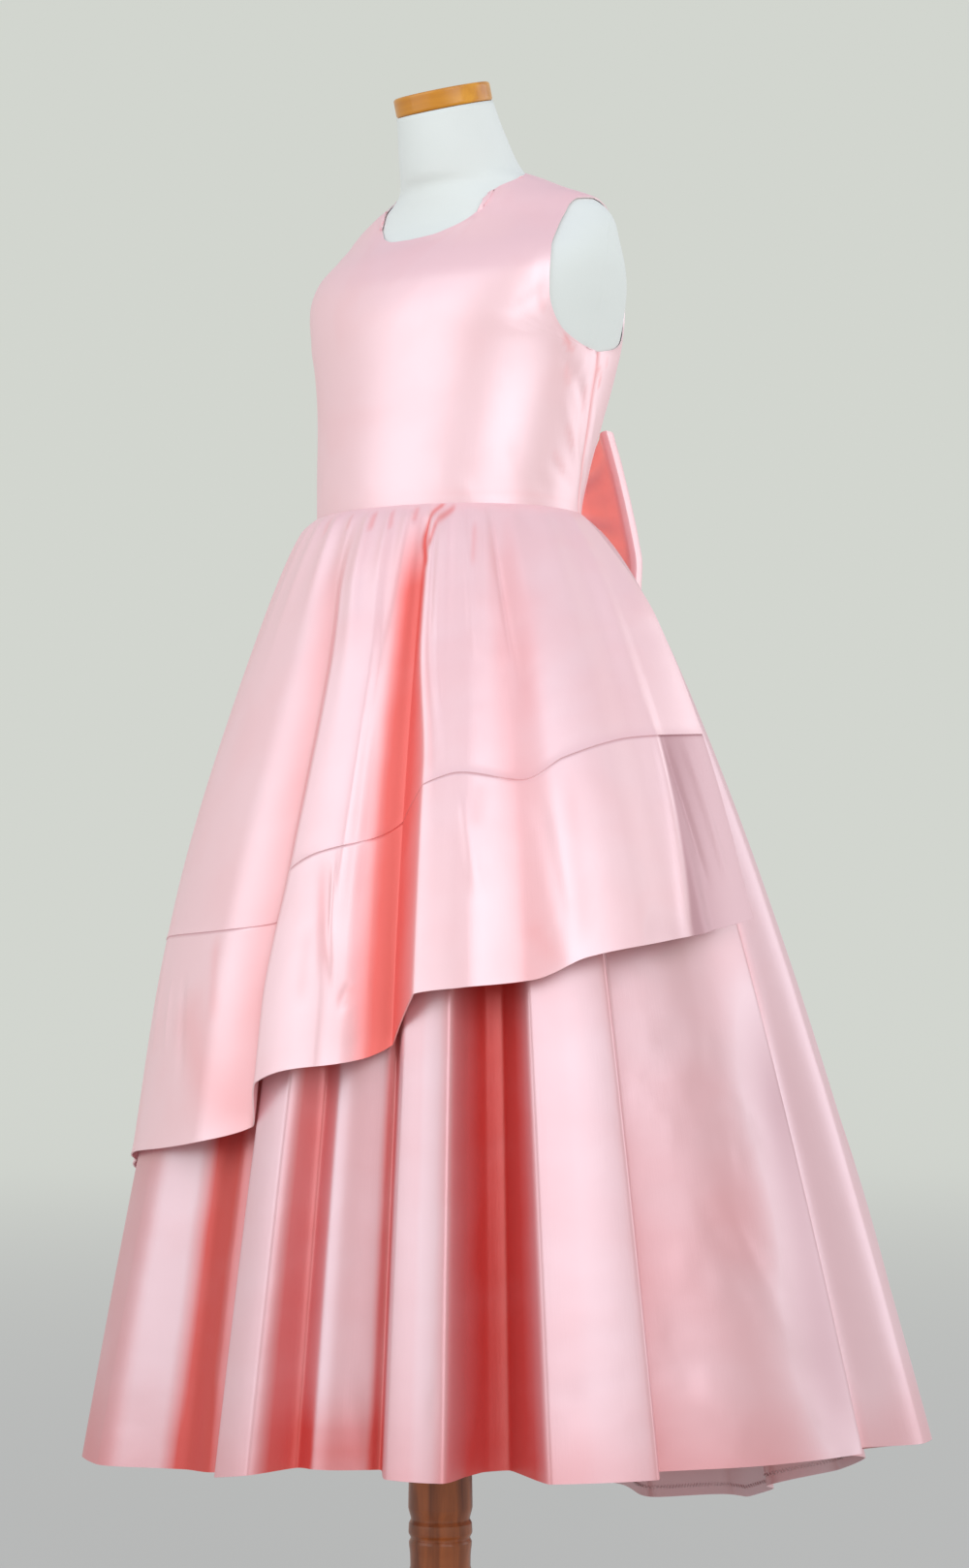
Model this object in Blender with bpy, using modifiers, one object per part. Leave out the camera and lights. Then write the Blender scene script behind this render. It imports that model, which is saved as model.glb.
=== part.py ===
"""Ball gown on a limbless dress form.

A girl's sleeveless, floor-length satin ball gown: a plain bodice with a round
neck, a full gathered underskirt that falls in deep flutes, an overskirt with a
slanting hem and a deep band sewn to its edge, and a bow at the centre back.
It is worn by a cloth-covered form on a turned wooden post and a round base.

Metres, +Z up. The origin is on the post's axis at the underside of the base.
The front of the gown looks along -Y and the wearer's left is +X. A "turn" is
an angle in degrees round the axis, 0 at the centre front and 90 at +X.
"""
import math

import bmesh
import bpy
import numpy as np

MM = 0.001
SEAM_GAP = 0.3

# Driving heights, in millimetres above the floor.
WAIST = 1060.0
SHOULDER_TIP = 1334.0
SHOULDER_NECK = 1364.0
NECK_TOP = 1428.0

# Cloth walls and how far each stands off what it lies on, in millimetres.
CLOTH = 1.4
TORSO_EASE = 2.1
BODICE_OUT = 4.0
UNDER_OUT = 3.8
OVER_OUT = 6.0

# The hem of the skirt follows a circle that is set back from the axis.
HEM_RADIUS = 370.0
HEM_SET_BACK = 85.0
FLARE_POWER = 0.70

# The form's level sections. centre_back is the middle's distance behind the
# axis, pinch narrows the sides (below 0 it fills them out), and tilt is the
# rise of the section for each millimetre towards the back.
FORM_COLUMNS = ("height", "half_width", "half_depth", "centre_back", "pinch", "tilt")
FORM_SECTIONS = (
    (840, 104, 90, 14, 0.00, 0.00),
    (862, 122, 104, 14, 0.00, 0.00),
    (910, 128, 110, 14, 0.00, 0.00),
    (980, 125, 107, 11, 0.00, 0.00),
    (1060, 122, 101.5, 9.5, -0.02, 0.00),
    (1100, 126, 104.5, 14.5, -0.02, 0.00),
    (1144, 132.5, 108, 23.5, -0.04, 0.00),
    (1168, 136.5, 110.5, 28, -0.05, 0.00),
    (1200, 142.5, 112.5, 32, -0.08, 0.00),
    (1221, 148, 113, 33.5, -0.10, 0.00),
    (1256, 157, 107, 35.5, -0.10, 0.00),
    (1281, 161, 96, 37.5, 0.00, 0.00),
    (1306, 158.5, 80, 43.5, 0.25, 0.00),
    (1320, 152, 73, 47, 0.38, 0.00),
    (1333, 138.5, 69, 46.5, 0.50, 0.00),
    (1348, 104, 66, 44.5, 0.54, 0.00),
    (1359, 79, 61, 39, 0.38, 0.05),
    (1370, 59, 55, 28, 0.12, 0.12),
    (1400, 49, 47, 14, 0.00, 0.22),
    (1428, 43.5, 42, 4.5, 0.00, 0.30),
)

# Levels at which the torso is meshed, closer together where it curves most.
TORSO_COLUMNS = 40
TORSO_LEVELS = (
    840, 862, 910, 980, 1060, 1100, 1144, 1180, 1200, 1221, 1240, 1256, 1268, 1280, 1290,
    1300, 1309, 1317, 1324, 1330, 1336, 1342, 1348, 1354, 1359, 1364, 1370, 1384, 1402, 1428,
)

# The bodice's edges on the form, as turn and height. The front half runs
# from the centre front, the back half from the side to the centre back.
EDGE_COLUMNS = ("turn", "height")
SHOULDER_TURN = 90.0
SIDE_SEAM = ((115, 1060), (110, 1084), (104, 1123), (98, 1166), (96, 1199))
FRONT_ARMHOLE = (
    (96, 1199), (87.5, 1201), (80, 1206), (73.5, 1213.5), (68.5, 1225.5), (65, 1239),
    (62, 1261.5), (57.5, 1290), (56, 1308), (59, 1323), (70, 1333), (90, 1334),
)
BACK_ARMHOLE = (
    (96, 1199), (108, 1205), (117, 1212), (124, 1222), (129, 1240), (131, 1262),
    (129, 1285), (122, 1308), (110, 1325), (90, 1334),
)
FRONT_NECKLINE = (
    (0, 1302.5), (8, 1304), (15, 1310.5), (23.5, 1326), (35, 1345), (60, 1357), (90, 1364),
)
BACK_NECKLINE = ((180, 1345), (160, 1346), (140, 1351), (118, 1359), (90, 1364))

# Folds of the skirts at the hem, from valley to crest and on. Each "out" is
# the distance outside the hem circle in millimetres, and both tables are for
# the same circle.
FOLD_COLUMNS = ("turn", "out")
UNDER_FOLDS = (
    (-170, -72), (-162, -22), (-150, -14), (-141, -70), (-133, 4), (-121, -2),
    (-112, -62), (-104, 2), (-92, 6), (-83, -58), (-74, 4), (-64, -4), (-57, -20),
    (-47, 4), (-34, 4), (-22, -32), (-16, -42), (-9, -39), (-4, -46), (1.5, -6),
    (8.5, -3), (14, -42), (19, -33), (28.5, -48), (30.5, -52), (33.5, -6), (42, 5),
    (49, -58), (55, -66), (57.2, 7), (72, 3), (76.5, -37), (94, -20), (110, -15),
    (117, -36), (126, 4), (140, 8), (149, -66), (156, -16), (163, -10), (170, -58),
    (176, -12), (182, -8),
)
OVER_FOLDS = (
    (-112, -6), (-104, -2), (-92, 2), (-82, -14), (-72, 4), (-62, -2), (-56, -8),
    (-48, -2), (-30, 4), (-14, 0), (-2.6, -22), (1.6, 6), (9, 9), (17, 4), (25, -38),
    (30.4, -46), (32.8, 12), (45, 18), (55, 4), (64, 19), (76, 16), (84, 8),
    (89.5, 12), (94, 0), (107, -9), (112, -12),
)

# The overskirt's middle fold leans round the gown on its way down: the shift
# of its turns at each height, full between LEAN_TURNS and fading outside.
LEAN_COLUMNS = ("height", "shift")
OVER_LEAN = (
    (450, 2.4), (635, 2.4), (690, 3.4), (747, 5.0), (860, 5.9), (914, 5.4), (955, 3.9),
    (997, 1.4), (1060, 0.0),
)
LEAN_START, LEAN_FADE_IN = -22.0, 19.0
LEAN_END, LEAN_FADE_OUT = 24.0, 15.0

# Height of the underskirt's hem round the gown.
HEM_COLUMNS = ("turn", "height")
HEM_LINE = (
    (-180, 152), (-165, 155), (-145, 168), (-120, 190), (-90, 222), (-45, 243),
    (-5, 253), (20, 266), (90, 266), (130, 256), (150, 225), (165, 190), (180, 152),
)

# Heights of the overskirt's slanting edge and of the seam above its band.
OVER_EDGE_COLUMNS = ("turn", "seam_height", "hem_height")
OVER_EDGE = (
    (-107, 640, 447), (-48, 690, 502), (-2.6, 703, 535), (1.6, 748, 572), (30.4, 785, 603),
    (32.8, 815, 645), (44, 825, 650), (57, 819, 656), (66, 838, 674), (84, 857, 689),
    (107, 864, 707),
)
OVER_SIDE = 107.0
UNDER_SIDE = 112.0
SEAM_TURN = 0.045

# How far the overskirt stands off. It reaches the whole of BAND_STAND_OUT at
# BAND_DROP of the way down and keeps part of it at the hem. Its two free edges
# flare from FLARE_TURN on. Drops are parts of the way from waist to floor hem.
BAND_STAND_OUT = 17.0
BAND_DROP = 0.42
BAND_FALL_BACK, FALL_BACK_START, FALL_BACK_LENGTH = 0.45, 0.46, 0.26
EDGE_FLARE = 14.0
FLARE_TURN, FLARE_WIDTH = 84.0, 23.0
FLARE_DROP, FLARE_FALL_BACK, FLARE_BACK_START, FLARE_BACK_LENGTH = 0.12, 0.8, 0.15, 0.30

# Widest spans between the skirts' columns of points, in degrees, and the
# nearest that two of the fold tables' turns may come.
UNDER_FRONT_SPAN, UNDER_BACK_SPAN, OVER_SPAN = 5.0, 3.0, 3.1
NODE_SPACING = 1.6
BAND_GAP = 0.4

# Gathers that are sewn into the waist of the overskirt and the underskirt.
GATHER_COLUMNS = ("turn", "half_width", "out", "length")
GATHER_START = 10.0
OVER_GATHERS = (
    (-98, 4.0, 2.4, 90), (-84, 3.2, 2.0, 70), (-71, 4.0, 2.6, 110), (-58, 3.0, 2.2, 80),
    (-46, 3.6, 2.4, 120), (-34, 2.8, 2.0, 70), (-23, 3.0, 2.6, 95), (-12, 2.6, 3.0, 80),
    (-3, 2.4, 2.4, 60), (6, 2.6, 3.6, 120), (15, 2.2, 2.4, 70), (23, 3.0, 4.5, 150),
    (34, 3.0, 8.5, 200), (42, 2.6, 2.6, 75), (51, 2.6, 2.2, 95), (62, 3.6, 2.0, 70),
    (76, 4.2, 1.8, 90), (92, 4.4, 2.4, 110),
)
UNDER_GATHERS = (
    (118, 3.4, 2.2, 90), (130, 3.6, 3.0, 130), (142, 3.0, 2.2, 80), (152, 3.2, 2.8, 110),
    (163, 3.0, 2.4, 70), (175, 3.4, 3.0, 120), (187, 3.0, 2.4, 80), (198, 3.2, 2.8, 105),
    (209, 3.0, 2.2, 75), (221, 3.6, 3.0, 125), (234, 3.4, 2.4, 90), (246, 3.4, 2.2, 80),
)

# The turned post, from the torso down, as height and radius.
POST_PROFILE = (
    (839.7, 27.5), (232, 27.5), (198, 28.0), (192, 26.6), (188, 25.6), (184, 27.4),
    (176, 27.8), (172, 25.8), (168, 27.4), (157, 26.4), (147, 26.2), (139, 29.5),
    (126, 31.0), (112, 29.5), (98, 26.5), (82, 27.5), (62, 33.0), (46, 39.0), (28.3, 44.0),
)
BASE_PROFILE = (
    (28, 60), (27.6, 150), (25.6, 172), (21.4, 184), (15, 190), (6, 190), (0, 186),
)
POST_STEPS, BASE_STEPS, CAP_STEPS = 24, 40, 32
CAP_RADIUS = 43.5
CAP_HEIGHT = 17.0
CAP_EDGE = 2.0
CAP_TILT = math.atan(0.30)

# The bow at the centre back: a knot between two open loops.
KNOT_HEIGHT = 1078.0
KNOT_BACK = 152.4
KNOT_HALF = (20.5, 31.0, 31.5)
KNOT_SQUARENESS = 0.72
LOOP_LEAN = (29.0, 17.0)
LOOP_BULGE = 5.0
LOOP_COLUMNS = ("across", "back", "half_height", "middle")
LOOP_SECTIONS = (
    (21.8, 141, 23, 1079), (34, 150, 34, 1077), (52, 157, 48, 1073), (76, 155, 62, 1069),
    (98, 146, 72, 1067), (113, 137, 78, 1066), (119, 138, 79, 1066), (117, 147, 78, 1067),
    (104, 162, 73, 1070), (82, 178, 64, 1074), (58, 186, 51, 1078), (36, 180, 36, 1080),
    (21.8, 162, 24, 1079),
)


def column(table, names, name):
    """One named column of a table as an array."""
    place = names.index(name)
    return np.array([row[place] for row in table], float)


def through(x, xs, ys):
    """Smooth curve through a table that never overshoots its rows."""
    x = np.asarray(x, float)
    step = np.diff(xs)
    slope = np.diff(ys) / step
    ends = np.zeros(len(xs))
    ahead = 2 * step[1:] + step[:-1]
    behind = step[1:] + 2 * step[:-1]
    same = slope[1:] * slope[:-1] > 0
    near = np.where(same, slope[:-1], 1.0)
    far = np.where(same, slope[1:], 1.0)
    ends[1:-1] = np.where(same, (ahead + behind) / (ahead / near + behind / far), 0.0)
    ends[0], ends[-1] = slope[0], slope[-1]
    i = np.clip(np.searchsorted(xs, x) - 1, 0, len(xs) - 2)
    t = np.clip((x - xs[i]) / step[i], 0.0, 1.0)
    low = ys[i] * (1 + 2 * t) * (1 - t) ** 2 + step[i] * ends[i] * t * (1 - t) ** 2
    high = ys[i + 1] * t * t * (3 - 2 * t) - step[i] * ends[i + 1] * t * t * (1 - t)
    return low + high


def ease(t):
    """Soft step from 0 to 1."""
    t = np.clip(t, 0.0, 1.0)
    return t * t * (3 - 2 * t)


def bell(distance, half_width):
    """Soft ridge of height 1 that dies out at about twice its half width."""
    return np.exp(-(distance / half_width) ** 2)


def form_point(turn, height):
    """Point of the form's surface for arrays of turns and heights."""
    heights = column(FORM_SECTIONS, FORM_COLUMNS, "height")
    half_width, half_depth, back, pinch, tilt = (
        through(height, heights, column(FORM_SECTIONS, FORM_COLUMNS, name))
        for name in FORM_COLUMNS[1:]
    )
    angle = np.radians(turn)
    side = np.sin(angle)
    front = np.cos(angle) * (1 - pinch * side ** 2)
    y = -half_depth * front
    return np.stack([half_width * side, back + y, height + tilt * y], -1)


def off_form(turn, height, out):
    """Point that stands off the form along its surface normal."""
    along = form_point(turn + 1.5, height) - form_point(turn - 1.5, height)
    up = form_point(turn, height + 1.0) - form_point(turn, height - 1.0)
    normal = np.cross(along, up)
    normal /= np.linalg.norm(normal, axis=-1, keepdims=True)
    return form_point(turn, height) + out * normal


def arc_table(height, turns):
    """Length round the form from the first turn to each of the turns."""
    points = form_point(turns, np.full(turns.shape, height))
    steps = np.linalg.norm(np.diff(points, axis=0), axis=1)
    return np.concatenate([[0.0], np.cumsum(steps)])


def turn_to_arc(turn, height, turns):
    """Lengths round the form from the first of turns to each turn."""
    way = np.sign(turns[1] - turns[0])
    pairs = zip(turn, height)
    return np.array([np.interp(way * t, way * turns, arc_table(h, turns)) for t, h in pairs])


def arc_to_turn(arc, height, turns):
    """Turns at which the lengths round the form are reached."""
    pairs = zip(arc.ravel(), height.ravel())
    flat = [np.interp(a, arc_table(h, turns), turns) for a, h in pairs]
    return np.array(flat).reshape(arc.shape)


def along_edge(rows, count):
    """Evenly spaced turns and heights along an edge of the bodice."""
    turn = column(rows, EDGE_COLUMNS, "turn")
    height = column(rows, EDGE_COLUMNS, "height")
    points = form_point(turn, height)
    length = np.concatenate([[0.0], np.cumsum(np.linalg.norm(np.diff(points, axis=0), axis=1))])
    at = np.linspace(0.0, length[-1], count)
    return through(at, length, turn), through(at, length, height)


def coons_patch(bottom, top, left, right):
    """Grid inside four edges: the two ruled grids less the corners' grid."""
    u = np.linspace(0.0, 1.0, len(bottom))
    v = np.linspace(0.0, 1.0, len(left))
    uu, vv = np.meshgrid(u, v)
    ruled = (1 - vv) * bottom[None, :] + vv * top[None, :]
    ruled += (1 - uu) * left[:, None] + uu * right[:, None]
    corners = (1 - uu) * (1 - vv) * bottom[0] + uu * (1 - vv) * bottom[-1]
    corners += (1 - uu) * vv * top[0] + uu * vv * top[-1]
    return ruled - corners


def bodice_half(neckline, armhole, centre_turn, sizes):
    """Grid of turns and heights for half a bodice panel, centre line first.

    The grid fills the four-sided patch of waist, side with armhole, shoulder
    with neckline, and centre line, measured as lengths round the form.
    """
    neck_cells, shoulder_cells, side_cells, arm_cells = sizes
    way = 2.0 if centre_turn < SHOULDER_TURN else -2.0
    turns = centre_turn + way * np.arange(61)
    neck = along_edge(neckline, neck_cells + 1)
    shoulder_height = np.linspace(SHOULDER_NECK, SHOULDER_TIP, shoulder_cells + 1)[1:]
    top_turn = np.concatenate([neck[0], np.full(shoulder_cells, SHOULDER_TURN)])
    top_height = np.concatenate([neck[1], shoulder_height])
    seam = along_edge(SIDE_SEAM, side_cells + 1)
    arm = along_edge(armhole, arm_cells + 1)
    side_turn = np.concatenate([seam[0], arm[0][1:]])
    side_height = np.concatenate([seam[1], arm[1][1:]])
    columns, rows = len(top_turn), len(side_turn)
    bottom_height = np.full(columns, WAIST)
    left_height = np.linspace(WAIST, top_height[0], rows)
    waist_arc = turn_to_arc(side_turn[:1], side_height[:1], turns)[0]
    arc = coons_patch(
        np.linspace(0.0, waist_arc, columns), turn_to_arc(top_turn, top_height, turns),
        np.zeros(rows), turn_to_arc(side_turn, side_height, turns),
    )
    height = coons_patch(bottom_height, top_height, left_height, side_height)
    return arc_to_turn(arc, height, turns), height


def hem_circle(turn):
    """Distance from the axis to the set-back hem circle."""
    angle = np.radians(turn)
    return -HEM_SET_BACK * np.cos(angle) + np.sqrt(
        HEM_RADIUS ** 2 - (HEM_SET_BACK * np.sin(angle)) ** 2
    )


def fold_out(turn, folds, wrap):
    """How far a fold table stands outside the hem circle at each turn."""
    turns = column(folds, FOLD_COLUMNS, "turn")
    outs = column(folds, FOLD_COLUMNS, "out")
    if wrap:
        turns = np.concatenate([turns[-3:] - 360.0, turns, turns[:3] + 360.0])
        outs = np.concatenate([outs[-3:], outs, outs[:3]])
        turn = (np.asarray(turn, float) + 180.0) % 360.0 - 180.0
    i = np.clip(np.searchsorted(turns, turn) - 1, 0, len(turns) - 2)
    share = ease((turn - turns[i]) / (turns[i + 1] - turns[i]))
    return outs[i] + (outs[i + 1] - outs[i]) * share


def hem_height(turn):
    """Height of the underskirt's hem at each turn."""
    turn = (np.asarray(turn, float) + 180.0) % 360.0 - 180.0
    turns = column(HEM_LINE, HEM_COLUMNS, "turn")
    return through(turn, turns, column(HEM_LINE, HEM_COLUMNS, "height"))


def gathers(turn, drop, table):
    """Ridges pressed into the waist, fading down the skirt."""
    total = np.zeros(np.broadcast(turn, drop).shape)
    for at, half_width, out, length in table:
        total += out * bell(turn - at, half_width) * np.exp(-(drop / length) ** 2)
    return total * ease(drop / GATHER_START)


def skirt_point(turn, placed, height, folds, wrap, waist_out):
    """Point between the waist and the hem, drawn out to the folded hem.

    Folds are read at turn and put at placed, which differ where they lean.
    """
    waist = off_form(placed, np.full(np.shape(turn), WAIST), waist_out)
    drop = np.clip((WAIST - height) / (WAIST - hem_height(turn)), 0.0, 1.2)
    flare = drop ** FLARE_POWER
    reach = hem_circle(placed) + fold_out(turn, folds, wrap)
    angle = np.radians(placed)
    x = waist[..., 0] * (1 - flare) + reach * np.sin(angle) * flare
    y = waist[..., 1] * (1 - flare) - reach * np.cos(angle) * flare
    return np.stack([x, y, height + 0.0 * x], -1), drop


def moved_out(points, turn, out):
    """Points moved away from the axis in the level plane."""
    angle = np.radians(turn)
    ways = np.stack([np.sin(angle), -np.cos(angle), 0.0 * angle], -1)
    return points + out[..., None] * ways


def underskirt_point(turn, height):
    """Outer surface of the underskirt."""
    points, _ = skirt_point(turn, turn, height, UNDER_FOLDS, True, UNDER_OUT)
    return moved_out(points, turn, gathers(turn % 360.0, WAIST - height, UNDER_GATHERS))


def leaned(turn, height):
    """Turns at which the overskirt's folds are placed at each height."""
    heights = column(OVER_LEAN, LEAN_COLUMNS, "height")
    shift = through(height, heights, column(OVER_LEAN, LEAN_COLUMNS, "shift"))
    fade_in = ease((turn - LEAN_START) / LEAN_FADE_IN)
    return turn + shift * fade_in * ease((LEAN_END - turn) / LEAN_FADE_OUT)


def overskirt_point(turn, height):
    """Outer surface of the overskirt, which stands off at its band."""
    placed = leaned(turn, height)
    points, drop = skirt_point(turn, placed, height, OVER_FOLDS, False, OVER_OUT)
    fall_back = BAND_FALL_BACK * ease((drop - FALL_BACK_START) / FALL_BACK_LENGTH)
    stand = BAND_STAND_OUT * ease(drop / BAND_DROP) * (1 - fall_back)
    fall_back = FLARE_FALL_BACK * ease((drop - FLARE_BACK_START) / FLARE_BACK_LENGTH)
    flare = EDGE_FLARE * ease((np.abs(turn) - FLARE_TURN) / FLARE_WIDTH)
    flare = flare * ease(drop / FLARE_DROP) * (1 - fall_back)
    ridges = gathers(turn, WAIST - height, OVER_GATHERS)
    return moved_out(points, placed, stand + flare + ridges)


def over_edge(turn, name):
    """Height of the overskirt's seam or hem at each turn."""
    turns = column(OVER_EDGE, OVER_EDGE_COLUMNS, "turn")
    return through(turn, turns, column(OVER_EDGE, OVER_EDGE_COLUMNS, name))


def turns_between(start, end, nodes, widest):
    """Turns from start to end that keep the nodes and split wide spans."""
    inside = nodes[(nodes > start + 0.6) & (nodes < end - 0.6)]
    stops = np.concatenate([[start], inside, [end]])
    turns = [start]
    for a, b in zip(stops[:-1], stops[1:]):
        parts = max(2, math.ceil((b - a) / widest))
        turns += list(a + (b - a) * np.arange(1, parts + 1) / parts)
    return np.array(turns)


def new_object(name, mesh, material, collection):
    obj = bpy.data.objects.new(name, mesh)
    obj.data.materials.append(material)
    collection.objects.link(obj)
    return obj


def grid_mesh(name, points):
    """Open sheet through a grid of points in millimetres."""
    rows, columns, _ = points.shape
    mesh = bpy.data.meshes.new(name)
    start = np.arange(rows - 1)[:, None] * columns + np.arange(columns - 1)[None, :]
    quads = np.stack([start, start + 1, start + columns + 1, start + columns], -1)
    mesh.from_pydata((points.reshape(-1, 3) * MM).tolist(), [], quads.reshape(-1, 4).tolist())
    mesh.shade_smooth()
    return mesh


def cloth(name, points, material, collection):
    """Cloth wall: the grid is its outer face and it thickens inwards."""
    obj = new_object(name, grid_mesh(name, points), material, collection)
    wall = obj.modifiers.new("Wall", "SOLIDIFY")
    wall.thickness = CLOTH * MM
    wall.offset = -1.0
    wall.use_even_offset = True
    wall.thickness_clamp = 0.0
    return obj


def lined_wall(name, outer, inner, material, collection):
    """Closed cloth wall between an outer and an inner grid of points."""
    rows, columns, _ = outer.shape
    mesh = bpy.data.meshes.new(name)
    shape = bmesh.new()
    sheets = [
        [[shape.verts.new(p * MM) for p in row] for row in grid] for grid in (outer, inner)
    ]
    for r in range(rows - 1):
        for c in range(columns - 1):
            a, b = sheets[0], sheets[1]
            shape.faces.new((a[r][c], a[r][c + 1], a[r + 1][c + 1], a[r + 1][c]))
            shape.faces.new((b[r][c], b[r + 1][c], b[r + 1][c + 1], b[r][c + 1]))
    rims = [[sheet[0] for sheet in sheets], [sheet[-1][::-1] for sheet in sheets]]
    rims.append([[row[-1] for row in sheet] for sheet in sheets])
    rims.append([[row[0] for row in sheet][::-1] for sheet in sheets])
    for a, b in rims:
        for i in range(len(a) - 1):
            shape.faces.new((a[i + 1], a[i], b[i], b[i + 1]))
    bmesh.ops.recalc_face_normals(shape, faces=shape.faces)
    shape.to_mesh(mesh)
    shape.free()
    mesh.shade_smooth()
    return new_object(name, mesh, material, collection)


def turned(name, profile, steps, material, collection):
    """Solid of revolution from heights and radii listed from the top down."""
    mesh = bpy.data.meshes.new(name)
    points = [(0.0, 0.0, profile[0][0] * MM)]
    points += [(radius * MM, 0.0, height * MM) for height, radius in profile]
    points.append((0.0, 0.0, profile[-1][0] * MM))
    edges = [(i, i + 1) for i in range(len(points) - 1)]
    mesh.from_pydata(points, edges, [])
    obj = new_object(name, mesh, material, collection)
    screw = obj.modifiers.new("Turn", "SCREW")
    screw.steps = steps
    screw.render_steps = steps
    screw.use_merge_vertices = True
    screw.merge_threshold = 0.00005
    return obj


def make_material(name, colour, roughness, metallic=0.0):
    material = bpy.data.materials.new(name)
    material.use_nodes = True
    shader = material.node_tree.nodes["Principled BSDF"]
    shader.inputs["Base Color"].default_value = (*colour, 1.0)
    shader.inputs["Roughness"].default_value = roughness
    shader.inputs["Metallic"].default_value = metallic
    return material


def build_torso(material, collection):
    """Solid torso lofted through level sections from the hips to the neck."""
    around = TORSO_COLUMNS
    turns = np.arange(around) * 360.0 / around
    levels = [np.full(around, float(height)) for height in TORSO_LEVELS]
    points = [off_form(turns, level, -TORSO_EASE) for level in levels]
    points[0] = form_point(turns, levels[0])
    points[-1] = form_point(turns, levels[-1])
    mesh = bpy.data.meshes.new("form_torso")
    shape = bmesh.new()
    rings = [[shape.verts.new(p * MM) for p in ring] for ring in points]
    for lower, upper in zip(rings[:-1], rings[1:]):
        for i in range(around):
            j = (i + 1) % around
            shape.faces.new((lower[i], lower[j], upper[j], upper[i]))
    shape.faces.new(list(reversed(rings[0])))
    shape.faces.new(rings[-1])
    shape.to_mesh(mesh)
    shape.free()
    mesh.shade_smooth()
    new_object("form_torso", mesh, material, collection)


def build_stand(cap_wood, post_wood, collection):
    """Neck cap, turned post and round base."""
    turned("post", POST_PROFILE, POST_STEPS, post_wood, collection)
    turned("base", BASE_PROFILE, BASE_STEPS, post_wood, collection)
    profile = (
        (CAP_HEIGHT, CAP_RADIUS - CAP_EDGE), (CAP_HEIGHT - CAP_EDGE, CAP_RADIUS),
        (CAP_EDGE, CAP_RADIUS), (0.0, CAP_RADIUS - CAP_EDGE),
    )
    cap = turned("neck_cap", profile, CAP_STEPS, cap_wood, collection)
    centre = form_point(np.array([0.0, 180.0]), np.array([NECK_TOP, NECK_TOP])).mean(axis=0)
    lift = SEAM_GAP * np.array([0.0, -math.sin(CAP_TILT), math.cos(CAP_TILT)])
    cap.location = (centre + lift) * MM
    cap.rotation_euler = (CAP_TILT, 0.0, 0.0)


def build_bodice(material, collection):
    """Front cut in one piece and two backs that meet at the centre back."""
    half_gap = SEAM_GAP / 2
    turn, height = bodice_half(FRONT_NECKLINE, FRONT_ARMHOLE, 0.0, (9, 6, 3, 9))
    turn = np.concatenate([-turn[:, :0:-1], turn], axis=1)
    height = np.concatenate([height[:, :0:-1], height], axis=1)
    outs = (BODICE_OUT, BODICE_OUT - CLOTH)
    front = [trimmed(off_form(turn, height, out), half_gap) for out in outs]
    lined_wall("bodice_front", *front, material, collection)
    turn, height = bodice_half(BACK_NECKLINE, BACK_ARMHOLE, 180.0, (6, 6, 3, 11))
    back = [trimmed(off_form(turn, height, out)[:, ::-1], half_gap) for out in outs]
    lined_wall("bodice_back_left", *back, material, collection)
    other = [grid[:, ::-1] * np.array([-1.0, 1.0, 1.0]) for grid in back]
    lined_wall("bodice_back_right", *other, material, collection)


def trimmed(points, gap):
    """Grid drawn in from its left, right and top edges for the seams."""
    points = points.copy()

    def draw_in(edge, inner):
        way = inner - edge
        return edge + gap * way / np.linalg.norm(way, axis=-1, keepdims=True)

    points[:, 0] = draw_in(points[:, 0], points[:, 1])
    points[:, -1] = draw_in(points[:, -1], points[:, -2])
    points[-1] = draw_in(points[-1], points[-2])
    return points


def inner_sheet(outer):
    """Inner face of a wall: the grid moved in along its level normals."""
    across = np.gradient(outer, axis=1)
    normal = np.stack([-across[..., 1], across[..., 0], 0.0 * across[..., 0]], -1)
    normal /= np.linalg.norm(normal, axis=-1, keepdims=True)
    return outer + CLOTH * normal


def build_underskirt(material, collection):
    """Front and back of the underskirt, parted at the side seams."""
    nodes = column(UNDER_FOLDS, FOLD_COLUMNS, "turn")
    nodes = np.sort(np.concatenate([nodes, nodes + 360.0]))
    shares = np.linspace(0.0, 1.0, 8)[:, None] ** (1 / FLARE_POWER)
    ahead, behind = UNDER_SIDE - SEAM_TURN, UNDER_SIDE + SEAM_TURN
    front = turns_between(-ahead, ahead, nodes, UNDER_FRONT_SPAN)
    back = turns_between(behind, 360.0 - behind, nodes, UNDER_BACK_SPAN)
    turn = np.concatenate([front, back]) + 0.0 * shares
    top = WAIST - SEAM_GAP
    outer = underskirt_point(turn, top + (hem_height(turn) - top) * shares)
    inner = inner_sheet(outer)
    seam = len(front)
    lined_wall("underskirt_front", outer[:, :seam], inner[:, :seam], material, collection)
    lined_wall("underskirt_back", outer[:, seam:], inner[:, seam:], material, collection)


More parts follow.
